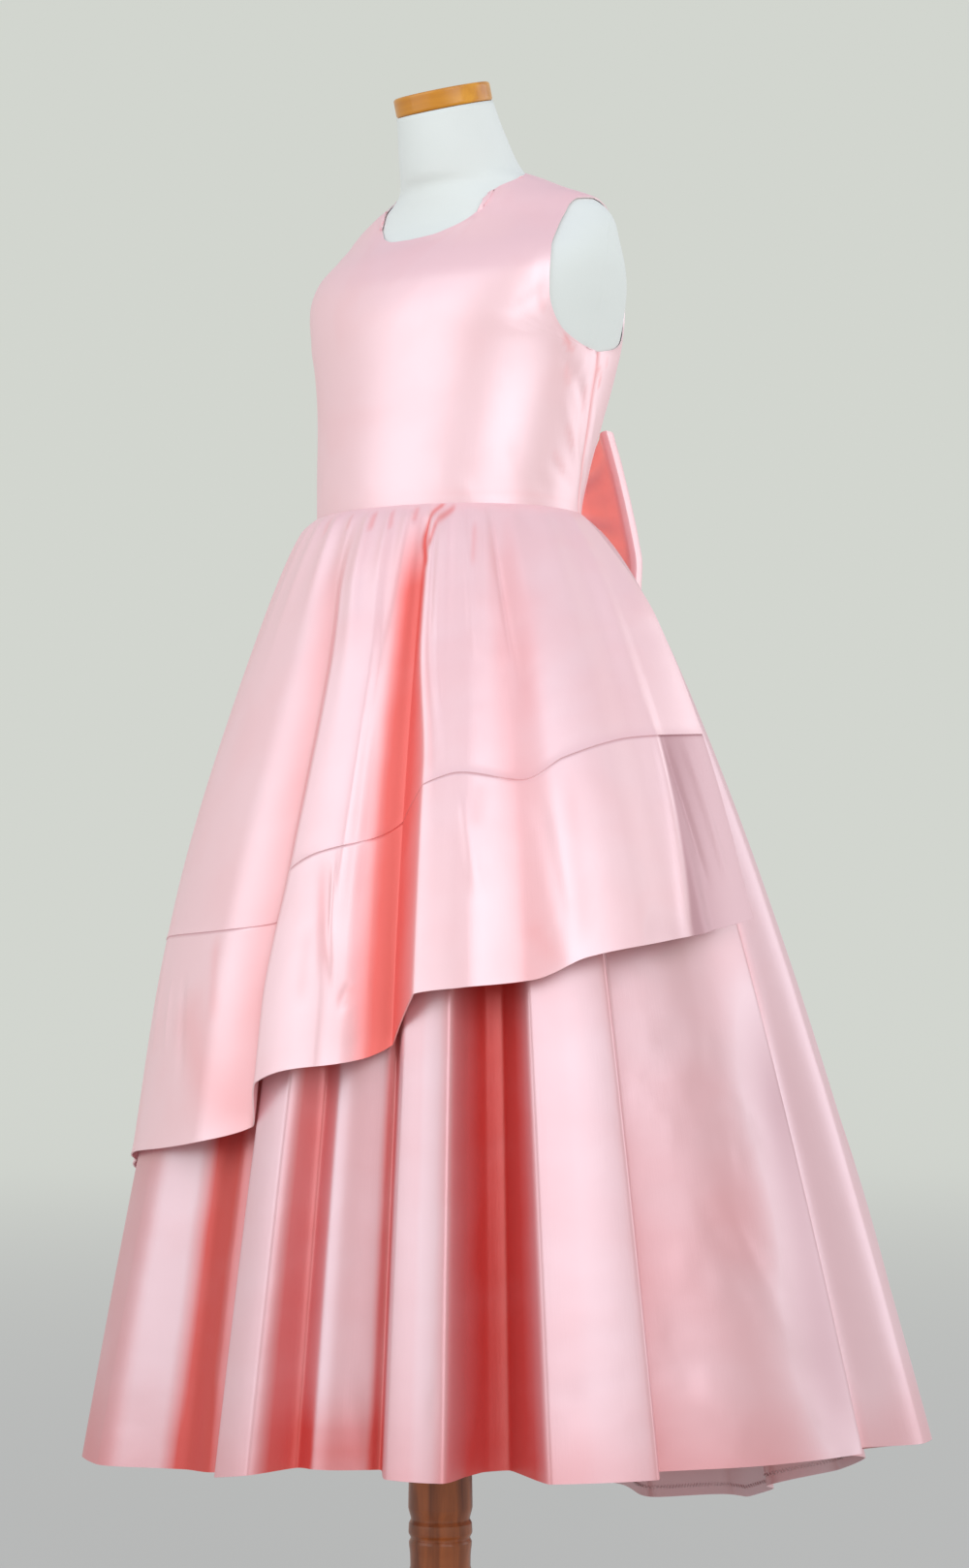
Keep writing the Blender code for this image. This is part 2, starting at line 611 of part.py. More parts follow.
def build_overskirt(material, collection):
    """Upper overskirt and the band sewn to its slanting edge."""
    nodes = column(OVER_FOLDS, FOLD_COLUMNS, "turn")
    edges = column(OVER_EDGE, OVER_EDGE_COLUMNS, "turn")
    nodes = np.unique(np.concatenate([nodes, edges]))
    keep = np.concatenate([[True], np.diff(nodes) > NODE_SPACING])
    turns = turns_between(-OVER_SIDE, OVER_SIDE, nodes[keep], OVER_SPAN)
    top = WAIST - SEAM_GAP
    seam = over_edge(turns, "seam_height")
    hem = over_edge(turns, "hem_height")
    upper_shares = np.linspace(0.0, 1.0, 7)[:, None] ** 1.25
    band_shares = np.linspace(0.0, 1.0, 4)[:, None]
    upper = top + (seam - top) * upper_shares
    steps = np.diff(overskirt_point(turns, seam)[:, :2], axis=0)
    run = np.gradient(np.concatenate([[0.0], np.cumsum(np.hypot(*steps.T))]))
    gap = BAND_GAP * np.hypot(1.0, np.gradient(seam) / run)
    band = seam - gap + (hem - seam + gap) * band_shares
    height = np.concatenate([upper, band])
    outer = overskirt_point(turns + 0.0 * height, height)
    inner = inner_sheet(outer)
    rows = len(upper)
    lined_wall("overskirt_upper", outer[:rows], inner[:rows], material, collection)
    lined_wall("overskirt_band", outer[rows:], inner[rows:], material, collection)


def build_bow(material, collection):
    """Two hollow loops and the knot between them."""
    across, back, half_height, middle = (
        column(LOOP_SECTIONS, LOOP_COLUMNS, name) for name in LOOP_COLUMNS
    )
    at = np.arange(len(LOOP_SECTIONS), dtype=float)
    along = np.linspace(0.0, at[-1], 25)
    up = np.linspace(-1.0, 1.0, 5)[:, None]
    x = through(along, at, across) + 0.0 * up
    height = through(along, at, middle) + through(along, at, half_height) * up
    bulge = LOOP_BULGE * (1 - up ** 2) * np.sin(np.pi * along / at[-1])
    y = through(along, at, back) + bulge
    narrow, wide = half_height.min(), half_height.max()
    lean = (through(along, at, half_height) - narrow) / (wide - narrow) * (1 + up) / 2
    left = np.stack([x - LOOP_LEAN[0] * lean, y - LOOP_LEAN[1] * lean, height], -1)
    cloth("bow_loop_left", left, material, collection)
    cloth("bow_loop_right", left[:, ::-1] * np.array([-1.0, 1.0, 1.0]), material, collection)
    bpy.ops.mesh.primitive_uv_sphere_add(segments=20, ring_count=12, radius=1.0)
    knot = bpy.context.object
    knot.name = "bow_knot"
    knot.data.name = "bow_knot"
    half = np.array(KNOT_HALF)
    centre = np.array([0.0, KNOT_BACK, KNOT_HEIGHT])
    for vertex in knot.data.vertices:
        unit = np.array(vertex.co)
        soft = np.sign(unit) * np.abs(unit) ** KNOT_SQUARENESS
        vertex.co = (centre + half * soft) * MM
    knot.data.materials.append(material)
    for owner in list(knot.users_collection):
        owner.objects.unlink(knot)
    collection.objects.link(knot)


def main():
    for obj in list(bpy.data.objects):
        bpy.data.objects.remove(obj)
    gown = bpy.data.collections.new("Ball gown on a dress form")
    bpy.context.scene.collection.children.link(gown)
    satin = make_material("Pink satin", (0.89, 0.60, 0.62), 0.35)
    cover = make_material("White cotton cover", (0.74, 0.76, 0.72), 0.85)
    cap_wood = make_material("Amber varnished wood", (0.68, 0.28, 0.03), 0.22)
    post_wood = make_material("Brown varnished wood", (0.19, 0.05, 0.015), 0.25)
    build_torso(cover, gown)
    build_stand(cap_wood, post_wood, gown)
    build_bodice(satin, gown)
    build_underskirt(satin, gown)
    build_overskirt(satin, gown)
    build_bow(satin, gown)


main()
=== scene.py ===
# %% [markdown]
# # A pink satin ball gown on a dress form
# This lesson dresses a solid model of a girl's ball gown. The solids give the
# sizes, and each step below works out one finer surface over them and gives it
# the finish that the real thing has. Lengths in the tables are millimetres,
# turns are degrees round the post (0 at the centre front, 90 at the wearer's
# left), and every mesh is made in metres.

# %% Load the frame and note its size
import math

import bmesh
import bpy
import numpy as np
from mathutils import Matrix, Vector


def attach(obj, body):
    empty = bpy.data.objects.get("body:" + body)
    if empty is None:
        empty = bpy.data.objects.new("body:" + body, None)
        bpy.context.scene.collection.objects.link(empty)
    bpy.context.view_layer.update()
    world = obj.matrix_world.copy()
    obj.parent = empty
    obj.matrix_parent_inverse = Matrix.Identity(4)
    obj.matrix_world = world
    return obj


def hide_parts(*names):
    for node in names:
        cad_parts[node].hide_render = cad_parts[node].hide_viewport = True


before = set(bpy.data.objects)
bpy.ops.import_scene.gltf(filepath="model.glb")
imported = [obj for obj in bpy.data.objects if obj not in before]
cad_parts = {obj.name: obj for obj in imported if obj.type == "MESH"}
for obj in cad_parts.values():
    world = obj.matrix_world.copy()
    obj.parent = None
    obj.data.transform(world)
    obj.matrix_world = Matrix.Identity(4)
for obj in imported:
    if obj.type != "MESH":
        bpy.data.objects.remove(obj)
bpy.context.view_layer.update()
MM = 0.001

# %% [markdown]
# ## The camera
# The photograph was taken a little under three metres away, level with the
# middle of the skirt and 42 degrees round towards the wearer's left. The lens
# is long, so the gown hardly narrows towards the top. The camera looks up by
# three degrees, which keeps the post's foot out of the picture.

# %% Place the camera
LENS_PIXELS = 3360.0
PHOTO_HEIGHT = 1618.0
CAMERA_TURN = math.radians(42.0)
CAMERA_DISTANCE, CAMERA_HEIGHT = 2.86, 0.67
PITCH = math.atan(184.0 / LENS_PIXELS)
YAW = math.atan(45.0 / LENS_PIXELS)

camera_data = bpy.data.cameras.new("photo_camera")
camera = bpy.data.objects.new("photo_camera", camera_data)
bpy.context.scene.collection.objects.link(camera)
camera_data.sensor_fit = "VERTICAL"
camera_data.sensor_height = 36.0
camera_data.lens = 36.0 * LENS_PIXELS / PHOTO_HEIGHT
camera.location = (
    CAMERA_DISTANCE * math.sin(CAMERA_TURN),
    -CAMERA_DISTANCE * math.cos(CAMERA_TURN),
    CAMERA_HEIGHT,
)
heading = CAMERA_TURN - YAW
looking = Matrix.Rotation(heading, 4, "Z") @ Matrix.Rotation(math.pi / 2 + PITCH, 4, "X")
camera.rotation_euler = looking.to_euler()
bpy.context.scene.camera = camera
print("lens in millimetres:", round(camera_data.lens, 1))

# %% [markdown]
# ## Small helpers
# Colours are easiest to read off a chart as hex values, but a renderer wants
# linear light, so one function turns the first into the second. The others add
# nodes to a material with their settings and links, which keeps each material
# to a few readable lines.

# %% Colour and node helpers
MIX_FIRST, MIX_SECOND, MIX_RESULT = 6, 7, 2


def linear(hex_code):
    """Linear red, green and blue of an sRGB hex colour.

    Each channel c is divided by 12.92 when dark, and otherwise it is
    ((c + 0.055) / 1.055) to the power 2.4.
    """
    channels = [int(hex_code[i:i + 2], 16) / 255.0 for i in (1, 3, 5)]
    return [c / 12.92 if c <= 0.04045 else ((c + 0.055) / 1.055) ** 2.4 for c in channels]


def set_inputs(tree, target, inputs):
    """Set each input to a value, a hex colour or the output of another node."""
    for name, value in inputs.items():
        if isinstance(value, bpy.types.NodeSocket):
            tree.links.new(value, target.inputs[name])
        elif isinstance(value, str):
            target.inputs[name].default_value = (*linear(value), 1)
        else:
            target.inputs[name].default_value = value


def node(tree, kind, inputs=None, **settings):
    """Add a node, set its properties and then its inputs."""
    made = tree.nodes.new(kind)
    for name, value in settings.items():
        setattr(made, name, value)
    set_inputs(tree, made, inputs or {})
    return made


def blend(tree, factor, first, second):
    """Mix of two colours, each a hex value or the output of another node."""
    inputs = {"Factor": factor, MIX_FIRST: first, MIX_SECOND: second}
    return node(tree, "ShaderNodeMix", inputs, data_type="RGBA").outputs[MIX_RESULT]


def new_material(name):
    """An empty node material and its Principled shader."""
    material = bpy.data.materials.new(name)
    material.use_nodes = True
    return material, material.node_tree, material.node_tree.nodes["Principled BSDF"]


# %% [markdown]
# ## The room
# The gown stands before a plain, pale grey-green wall in soft daylight. A
# round cove, which is a floor that curves up into a wall on every side, gives
# the same calm background from any angle. Three large soft lights stand in for
# windows: one to the camera's left, the main one to its right, and a weaker one
# behind the gown on the right, which lights its edge.

# %% Make the cove and the lights
FLOOR_REACH, COVE_RADIUS, WALL_TOP = 7.6, 3.2, 9.0


def revolved(radius, height, columns):
    """Profile of radii r and heights z, turned round the upright axis.

    At each angle a its points are (r sin a, -r cos a, z).
    """
    angle = np.linspace(0.0, 2 * np.pi, columns, endpoint=False)
    r, a = np.meshgrid(radius, angle, indexing="ij")
    return np.stack([r * np.sin(a), -r * np.cos(a), height[:, None] + 0.0 * a], -1)


def grid_faces(rows, columns, closed):
    """Corner numbers of the quads between a grid's points, row by row."""
    first = np.arange(rows - 1)[:, None] * columns
    here = np.arange(columns if closed else columns - 1)[None, :]
    there = (here + 1) % columns
    above = first + columns
    return np.stack([first + here, first + there, above + there, above + here], -1)


def cove_mesh(around=96, steps=16):
    """Floor, quarter-round cove and wall.

    The profile runs out along the floor, follows a quarter circle of
    COVE_RADIUS and goes straight up.
    """
    bend = np.linspace(0.0, np.pi / 2, steps)
    radius = np.concatenate([[0.02, 2.0, 5.0], FLOOR_REACH + COVE_RADIUS * np.sin(bend)])
    height = np.concatenate([[0.0, 0.0, 0.0], COVE_RADIUS * (1 - np.cos(bend))])
    radius = np.append(radius, radius[-1])
    height = np.append(height, WALL_TOP)
    points = revolved(radius, height, around)
    quads = grid_faces(len(radius), around, True)
    mesh = bpy.data.meshes.new("cove")
    hub = np.arange(around)[::-1].tolist()
    mesh.from_pydata(points.reshape(-1, 3).tolist(), [], quads.reshape(-1, 4).tolist() + [hub])
    mesh.shade_smooth()
    return mesh


cove = bpy.data.objects.new("cove", cove_mesh())
bpy.context.scene.collection.objects.link(cove)
glowing_wall, tree, shader = new_material("matt glowing wall, dimmer towards the middle")
# The cove gives off its own light, and the glow is dimmer towards the middle of the room: a
# painted shade, darkest on the floor round the gown.
place = node(tree, "ShaderNodeTexCoord").outputs["Object"]
reach = node(tree, "ShaderNodeVectorMath", {0: place}, operation="LENGTH").outputs["Value"]
far = node(tree, "ShaderNodeMapRange", {"Value": reach, "From Min": 0.5, "From Max": 9.5},
           interpolation_type="SMOOTHSTEP").outputs["Result"]
set_inputs(tree, shader, {
    "Base Color": "#5C5E5C", "Roughness": 0.95, "Specular IOR Level": 0.0,
    "Emission Color": blend(tree, far, "#B2B2B1", "#D2D5CE"), "Emission Strength": 0.90,
})
cove.data.materials.append(glowing_wall)

world = bpy.data.worlds.new("daylight")
bpy.context.scene.world = world
world.use_nodes = True
sky = world.node_tree.nodes["Background"]
set_inputs(world.node_tree, sky, {"Color": "#E8EEFF", "Strength": 0.6})
bpy.context.scene.view_settings.view_transform = "Standard"


def soft_light(name, turn, distance, height, size, power, aim):
    """Square area light at a turn round the gown, aimed at its axis."""
    data = bpy.data.lights.new(name, "AREA")
    data.energy = power
    data.size = size
    data.color = linear("#F3F4FF")
    light = bpy.data.objects.new(name, data)
    angle = math.radians(turn)
    light.location = (distance * math.sin(angle), -distance * math.cos(angle), height)
    way = Vector((0.0, 0.0, aim)) - light.location
    light.rotation_euler = way.to_track_quat("-Z", "Y").to_euler()
    light.visible_camera = False
    bpy.context.scene.collection.objects.link(light)


soft_light("window_left", -14.0, 3.2, 2.0, 3.2, 44.0, aim=1.0)
soft_light("window_right", 66.0, 4.1, 2.4, 3.0, 70.0, aim=1.05)
soft_light("window_behind", 150.0, 3.4, 1.5, 2.4, 26.0, aim=0.75)
print("room ready")

# %% [markdown]
# ## Duchess satin
# Duchess satin is a heavy, closely woven cloth whose long floats of yarn all
# run one way on its face. That gives a broad, milky shine and a smooth face
# with only faint slubs. Light that falls into a fold bounces between pink
# walls and comes back warmer. That warm light and the shade in the folds are
# painted: each surface carries an attribute of painted shade, set from tables
# and from each piece's shape, and the colour and the tint of its reflections
# warm and darken with it. Below zero the same attribute is painted shade that
# dulls the satin, as on the band's free end, which faces away from the
# windows. The bow's loops are thin enough for daylight to come through; that
# light is a painted glow, an emission that is strongest where the loops'
# painted shade is high.

# %% Satin
THREAD_WIDTH, SLUB_LENGTH = 0.0011, 0.030
# Painted shade: dull face and reflection colours for satin turned away from the light.
PAINTED_SHADE_FACE, PAINTED_SHADE_REFLECTION = "#9E7077", "#8A5F66"
# The satin's own reflection tint, and a painted warm reflection for deep folds.
SHINE, PAINTED_FOLD_REFLECTION = "#FFF4F8", "#F08A84"
# Colour of the bow's painted glow.
PAINTED_GLOW = "#FFAEA2"


def satin_material(name, face, painted_fold_colour, shine, painted_glow_strength=0.0):
    """Satin with drawn-out threads, soft waves and painted warm shade in its folds.

    Above 0 the attribute painted_fold_shade warms and darkens the colour and
    the tint of its reflections; below 0 it dulls them. Both are painted shade.
    Where it is high, an emission gives a painted glow in place of light from behind.
    """
    material, tree, shader = new_material(name)
    coords = node(tree, "ShaderNodeUVMap", uv_map="cloth").outputs["UV"]
    threads = node(tree, "ShaderNodeMapping",
                   {"Vector": coords, "Scale": (1 / THREAD_WIDTH, 1 / SLUB_LENGTH, 1.0)})
    slubs = node(tree, "ShaderNodeTexNoise",
                 {"Vector": threads.outputs["Vector"], "Scale": 1.0, "Detail": 2.0},
                 noise_dimensions="2D").outputs["Fac"]
    waves = node(tree, "ShaderNodeTexNoise",
                 {"Vector": coords, "Scale": 16.0, "Detail": 2.5, "Roughness": 0.45},
                 noise_dimensions="2D").outputs["Fac"]
    fold = node(tree, "ShaderNodeAttribute", attribute_name="painted_fold_shade").outputs["Fac"]
    spread = {"From Min": 0.3, "From Max": 0.7, "To Min": -0.03, "To Max": 0.04}
    mottle = node(tree, "ShaderNodeMapRange", {"Value": waves, **spread})
    # Painted fold shade, with a little random mottle added.
    painted_shade = node(tree, "ShaderNodeMath", {0: fold, 1: mottle.outputs["Result"]},
                 operation="ADD", use_clamp=True).outputs["Value"]
    # Below zero the attribute is painted shade that dulls the satin.
    painted_dull_shade = node(tree, "ShaderNodeMath", {0: fold, 1: -1.0},
                operation="MULTIPLY", use_clamp=True).outputs["Value"]
    soft = node(tree, "ShaderNodeBump", {"Height": waves, "Strength": 0.12, "Distance": 0.006})
    fine = node(tree, "ShaderNodeBump",
                {"Height": slubs, "Normal": soft.outputs["Normal"], "Strength": 0.10,
                 "Distance": 0.0004})
    # Painted warm reflections deep in the folds.
    painted_warm_reflection = blend(tree, painted_shade, SHINE, PAINTED_FOLD_REFLECTION)
    set_inputs(tree, shader, {
        "Base Color": blend(tree, painted_dull_shade, blend(tree, painted_shade, face, painted_fold_colour), PAINTED_SHADE_FACE),
        "Specular Tint": blend(tree, painted_dull_shade, painted_warm_reflection, PAINTED_SHADE_REFLECTION),
        "Normal": fine.outputs["Normal"], "Roughness": shine, "IOR": 3.2,
        "Sheen Weight": 0.15, "Sheen Roughness": 0.4, "Sheen Tint": "#FFE9EC",
    })
    # Painted glow: an emission that grows with the painted shade.
    if painted_glow_strength:
        glow = blend(tree, painted_shade, "#000000", PAINTED_GLOW)
        set_inputs(tree, shader, {"Emission Color": glow, "Emission Strength": painted_glow_strength})
    return material


satin = satin_material("pale pink duchess satin", "#F8C8CC", "#EC6A62", 0.40)
# A darker copy of the same satin: painted shade for the underskirt, which hangs in the overskirt's
# shade.
shaded_satin = satin_material("satin in the overskirt's shade", "#DFAFB5", "#C9443F", 0.38)
# The bow's satin has a painted glow.
bow_satin = satin_material("satin with a painted glow", "#F8C8CC", "#E27A78", 0.40, 0.36)
# Paler satin: a painted highlight on the cut edges of every wall, and the colour of the hem's
# thread.
edge_highlight_and_thread_satin = satin_material("pale satin for painted edge highlights and thread", "#F9DADB", "#EFA09C", 0.45)
print("satin ready")

# %% [markdown]
# ## Cover and wood
# The form wears a white cotton jersey over its padding. It is matt, with a
# very fine knit and a slight green cast from the room. The neck cap is
# birch under amber varnish, and the post is turned beech with a brown stain.
# Varnish is a clear, smooth coat over grain that shows through.

# %% Cotton cover and varnished wood
def cover_material():
    """Matt knit: columns of stitches 1.6 mm apart, as a soft bump."""
    material, tree, shader = new_material("white cotton jersey")
    coords = node(tree, "ShaderNodeTexCoord").outputs["Object"]
    knit = node(tree, "ShaderNodeTexNoise", {"Vector": coords, "Scale": 620.0, "Detail": 1.0})
    cloud = node(tree, "ShaderNodeTexNoise", {"Vector": coords, "Scale": 9.0, "Detail": 3.0})
    bump = node(tree, "ShaderNodeBump",
                {"Height": knit.outputs["Fac"], "Strength": 0.12, "Distance": 0.0005})
    set_inputs(tree, shader, {
        "Base Color": blend(tree, cloud.outputs["Fac"], "#E6EAE6", "#DDE2DD"),
        "Normal": bump.outputs["Normal"], "Roughness": 0.86,
        "Sheen Weight": 0.25, "Sheen Roughness": 0.5,
    })
    return material


def wood_material(name, light, dark, stretch, rings):
    """Varnished wood: noise drawn out along the grain, under a clear coat."""
    material, tree, shader = new_material(name)
    coords = node(tree, "ShaderNodeTexCoord").outputs["Object"]
    along = node(tree, "ShaderNodeMapping", {"Vector": coords, "Scale": stretch})
    grain = node(tree, "ShaderNodeTexNoise",
                 {"Vector": along.outputs["Vector"], "Scale": rings, "Detail": 5.0,
                  "Distortion": 0.6})
    ramp = node(tree, "ShaderNodeValToRGB", {"Fac": grain.outputs["Fac"]})
    for stop, position, colour in zip(ramp.color_ramp.elements, (0.36, 0.66), (dark, light)):
        stop.position = position
        stop.color = (*linear(colour), 1)
    bump = node(tree, "ShaderNodeBump",
                {"Height": grain.outputs["Fac"], "Strength": 0.06, "Distance": 0.0006})
    set_inputs(tree, shader, {
        "Base Color": ramp.outputs["Color"], "Normal": bump.outputs["Normal"], "Roughness": 0.42,
        "Coat Weight": 0.4, "Coat Roughness": 0.16,
    })
    return material


cover = cover_material()
cap_wood = wood_material("birch under amber varnish", "#DF981C", "#BE7406", (2.5, 40.0, 40.0), 1.0)
post_wood = wood_material("beech with brown varnish", "#B8642A", "#793A14", (60.0, 60.0, 5.0), 1.2)
print("cover and wood ready")

# %% [markdown]
# ## Curves through short tables
# A dressmaker measures a body or a skirt at a few levels and draws a smooth
# line through them. These helpers do the same: they read a column of a table,
# run a curve through it that never bulges past its points, make soft steps and
# ridges, and add up lengths.

# %% Curve helpers
def column(table, names, name):
    """Column of a table under a name."""
    place = names.index(name)
    return np.array([row[place] for row in table], float)


def through(x, xs, ys):
    """Cubic through (xs, ys) whose slopes are harmonic means of its spans."""
    x = np.asarray(x, float)
    step = np.diff(xs)
    slope = np.diff(ys) / step
    ends = np.zeros(len(xs))
    ahead = 2 * step[1:] + step[:-1]
    behind = step[1:] + 2 * step[:-1]
    same = slope[1:] * slope[:-1] > 0
    near = np.where(same, slope[:-1], 1.0)
    far = np.where(same, slope[1:], 1.0)
    ends[1:-1] = np.where(same, (ahead + behind) / (ahead / near + behind / far), 0.0)
    ends[0], ends[-1] = slope[0], slope[-1]
    i = np.clip(np.searchsorted(xs, x) - 1, 0, len(xs) - 2)
    t = np.clip((x - xs[i]) / step[i], 0.0, 1.0)
    low = ys[i] * (1 + 2 * t) * (1 - t) ** 2 + step[i] * ends[i] * t * (1 - t) ** 2
    high = ys[i + 1] * t * t * (3 - 2 * t) - step[i] * ends[i + 1] * t * t * (1 - t)
    return low + high


def read(table, names, name, at):
    """Named column of a table, run smoothly along the table's first column."""
    return through(at, column(table, names, names[0]), column(table, names, name))


def ease(t):
    """Soft step from 0 to 1: 3 t squared less 2 t cubed."""
    t = np.clip(t, 0.0, 1.0)
    return t * t * (3 - 2 * t)


def bell(distance, half_width):
    """Soft ridge: e to the power of minus (distance / half width) squared."""
    return np.exp(-(distance / half_width) ** 2)


def signed(turn):
    """The same turn, counted from -180 to 180."""
    return (np.asarray(turn, float) + 180.0) % 360.0 - 180.0


def steps_along(points):
    """Lengths of the steps between a line's points."""
    return np.linalg.norm(np.diff(points, axis=0), axis=1)


def running(steps):
    """Running total of the steps, from 0."""
    return np.concatenate([[0.0], np.cumsum(steps)])


# %% [markdown]
# ## Creases
# Satin remembers how it was folded and handled. Each small crease below is a
# soft trough or ridge along a line on the skirt, from one turn and height to
# another, with its own width and depth. No two are alike.

# %% Crease helper
TURN_LENGTH = 4.5
PAINTED_SHADE_COLUMNS = ("turn", "painted_shade_value")


def creases(turn, height, table):
    """Sum of bells across short lines on the cloth, soft at both ends.

    A turn counts as TURN_LENGTH mm, about its length on the skirt's middle. For
    a line from a to b, s is the share along it and d the distance across it.
    """
    x, y = turn * TURN_LENGTH, height
    total = np.zeros(np.broadcast(x, y).shape)
    for turn_a, height_a, turn_b, height_b, half_width, out in table:
        ax, bx = turn_a * TURN_LENGTH, turn_b * TURN_LENGTH
        length = math.hypot(bx - ax, height_b - height_a)
        s = ((x - ax) * (bx - ax) + (y - height_a) * (height_b - height_a)) / length ** 2
        d = ((x - ax) * (height_b - height_a) - (y - height_a) * (bx - ax)) / length
        ends = ease((s + 0.15) / 0.35) * ease((1.15 - s) / 0.35)
        total += out * bell(d, half_width) * ends
    return total


def painted_shade_at(turn, table):
    """Painted shade of the cloth at each turn, read off a short table."""
    return read(table, PAINTED_SHADE_COLUMNS, "painted_shade_value", turn)


# %% [markdown]
# ## From a grid of points to cloth
# Every cloth piece here is a grid of points, worked out as one array. The
# same grid gives the cloth its UV map, measured in metres along the threads,
# so the weave keeps its real size and bends with each fold.

# %% Turn grids into meshes
CLOTH = 1.2


def grid_object(name, points, material, painted_shade=None, closed=False):
    """Mesh through a grid (rows, columns, 3) in millimetres, with cloth UVs and, when given, a
    painted shade attribute.
    """
    rows, columns, _ = points.shape
    quads = grid_faces(rows, columns, closed)
    mesh = bpy.data.meshes.new(name)
    mesh.from_pydata((points.reshape(-1, 3) * MM).tolist(), [], quads.reshape(-1, 4).tolist())
    wrapped = np.concatenate([points, points[:, :1]], axis=1) if closed else points
    across = np.linalg.norm(np.diff(wrapped, axis=1), axis=-1).mean(axis=0)
    down = np.linalg.norm(np.diff(points, axis=0), axis=-1).mean(axis=1)
    u, v = running(across) * MM, running(down) * MM
    row, col = np.indices(quads.shape[:2])
    corners_u = np.stack([u[col], u[col + 1], u[col + 1], u[col]], -1)
    corners_v = np.stack([v[row], v[row], v[row + 1], v[row + 1]], -1)
    layer = mesh.uv_layers.new(name="cloth")
    layer.data.foreach_set("uv", np.stack([corners_u, corners_v], -1).reshape(-1))
    # The painted shade goes on each point as an attribute.
    if painted_shade is not None:
        values = mesh.attributes.new("painted_fold_shade", "FLOAT", "POINT")
        values.data.foreach_set("value", np.asarray(painted_shade, float).reshape(-1))
    mesh.shade_smooth()
    obj = bpy.data.objects.new(name, mesh)
    bpy.context.scene.collection.objects.link(obj)
    mesh.materials.append(material)
    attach(obj, "root")
    return obj


def give_wall(obj):
    """Thicken a sheet inwards by the cloth's thickness."""
    wall = obj.modifiers.new("cloth wall", "SOLIDIFY")
    wall.thickness = CLOTH * MM
    wall.offset = -1.0
    # The rim takes the paler satin, a painted highlight along the cut edge.
    wall.material_offset_rim = 1
    obj.data.materials.append(edge_highlight_and_thread_satin)
    split = obj.modifiers.new("crisp edge", "EDGE_SPLIT")
    split.split_angle = math.radians(70.0)


# %% [markdown]
# ## The form's torso
# A dress form is a padded torso made from measured levels: hips, waist, chest,
# shoulders and neck. Each level here is an oval with its own width, depth and
# set-back. "Pinch" narrows an oval's sides, which turns it into the blade of
# a shoulder, and "tilt" raises its back edge, because a neck leans forward.

# %% Torso levels and surface
FORM_COLUMNS = ("height", "half_width", "half_depth", "centre_back", "pinch", "tilt")
FORM_SECTIONS = (
    (840, 104, 90, 14, 0, 0),
    (862, 122, 104, 14, 0, 0),
    (910, 128, 110, 14, 0, 0),
    (980, 125, 107, 11, 0, 0),
    (1060, 122, 101.5, 9.5, -0.02, 0),
    (1100, 126, 104.5, 14.5, -0.02, 0),
    (1144, 132.5, 108, 23.5, -0.04, 0),
    (1168, 136.5, 110.5, 28, -0.05, 0),
    (1200, 142.5, 112.5, 32, -0.08, 0),
    (1221, 148, 113, 33.5, -0.1, 0),
    (1256, 157, 107, 35.5, -0.1, 0),
    (1281, 161, 96, 37.5, 0, 0),
    (1306, 158.5, 80, 43.5, 0.25, 0),
    (1320, 152, 73, 47, 0.38, 0),
    (1333, 138.5, 69, 46.5, 0.5, 0),
    (1348, 104, 66, 44.5, 0.54, 0),
    (1359, 79, 61, 39, 0.38, 0.05),
    (1370, 59, 55, 28, 0.12, 0.12),
    (1400, 49, 47, 14, 0, 0.22),
    (1428, 43.5, 42, 4.5, 0, 0.3),
)


def form_point(turn, height):
    """Point of the torso at a turn a and a height h.

    x is half_width sin a. y is centre_back less half_depth cos a times
    (1 - pinch sin a squared). z is h plus tilt times y's part of that.
    """
    half_width, half_depth, back, pinch, tilt = (
        read(FORM_SECTIONS, FORM_COLUMNS, name, height) for name in FORM_COLUMNS[1:]
    )
    angle = np.radians(turn)
    side = np.sin(angle)
    y = -half_depth * np.cos(angle) * (1 - pinch * side ** 2)
    return np.stack([half_width * side, back + y, height + tilt * y], -1)


def normal_of(point_at, turn, height, step):
    """Unit normal of a surface, the cross of its slopes along and up."""
    along = point_at(turn + step, height) - point_at(turn - step, height)
    up = point_at(turn, height + 1.0) - point_at(turn, height - 1.0)
    normal = np.cross(along, up)
    return normal / np.linalg.norm(normal, axis=-1, keepdims=True)


def off_form(turn, height, out):
    """Point moved out along the torso's normal."""
    return form_point(turn, height) + out * normal_of(form_point, turn, height, 1.5)


COVER_SEAM = (
    (86, 1318, 89, 1265, 3, 0.6), (89, 1265, 90.5, 1233, 3, 0.6),
    (90.5, 1233, 89.5, 1150, 3, 0.6), (89.5, 1150, 89.5, 900, 3, 0.6),
)
heights = np.concatenate([[840.0], np.linspace(846, 1424, 150), [1428.0]])
turns = np.linspace(0.0, 360.0, 360, endpoint=False)
turn, height = np.meshgrid(turns, heights)
side_ridge = creases(np.abs(signed(turn)), height, COVER_SEAM)
torso_points = off_form(turn, height, (side_ridge - 0.3)[..., None])
torso_points[0] = form_point(turn[0], height[0])
torso_points[-1] = form_point(turn[-1], height[-1])
torso = grid_object("torso_cover", torso_points, cover, closed=True)
waist_ring = form_point(np.append(turns, 360.0), np.full(len(turns) + 1, 1060.0))
print("torso girth at the waist, mm:", round(float(steps_along(waist_ring).sum())))


# %% [markdown]
# A grid that is closed round still has open ends. A torso is a full body, so
# each end gets one flat face.

# %% Close the torso's ends
def close_ends(obj, columns):
    """Add one face across the first ring and one across the last."""
    mesh = obj.data
    count = len(mesh.vertices)
    shape = bmesh.new()
    shape.from_mesh(mesh)
    shape.verts.ensure_lookup_table()
    shape.faces.new([shape.verts[i] for i in range(columns - 1, -1, -1)])
    shape.faces.new([shape.verts[i] for i in range(count - columns, count)])
    shape.to_mesh(mesh)
    shape.free()


close_ends(torso, len(turns))
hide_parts("form_torso")

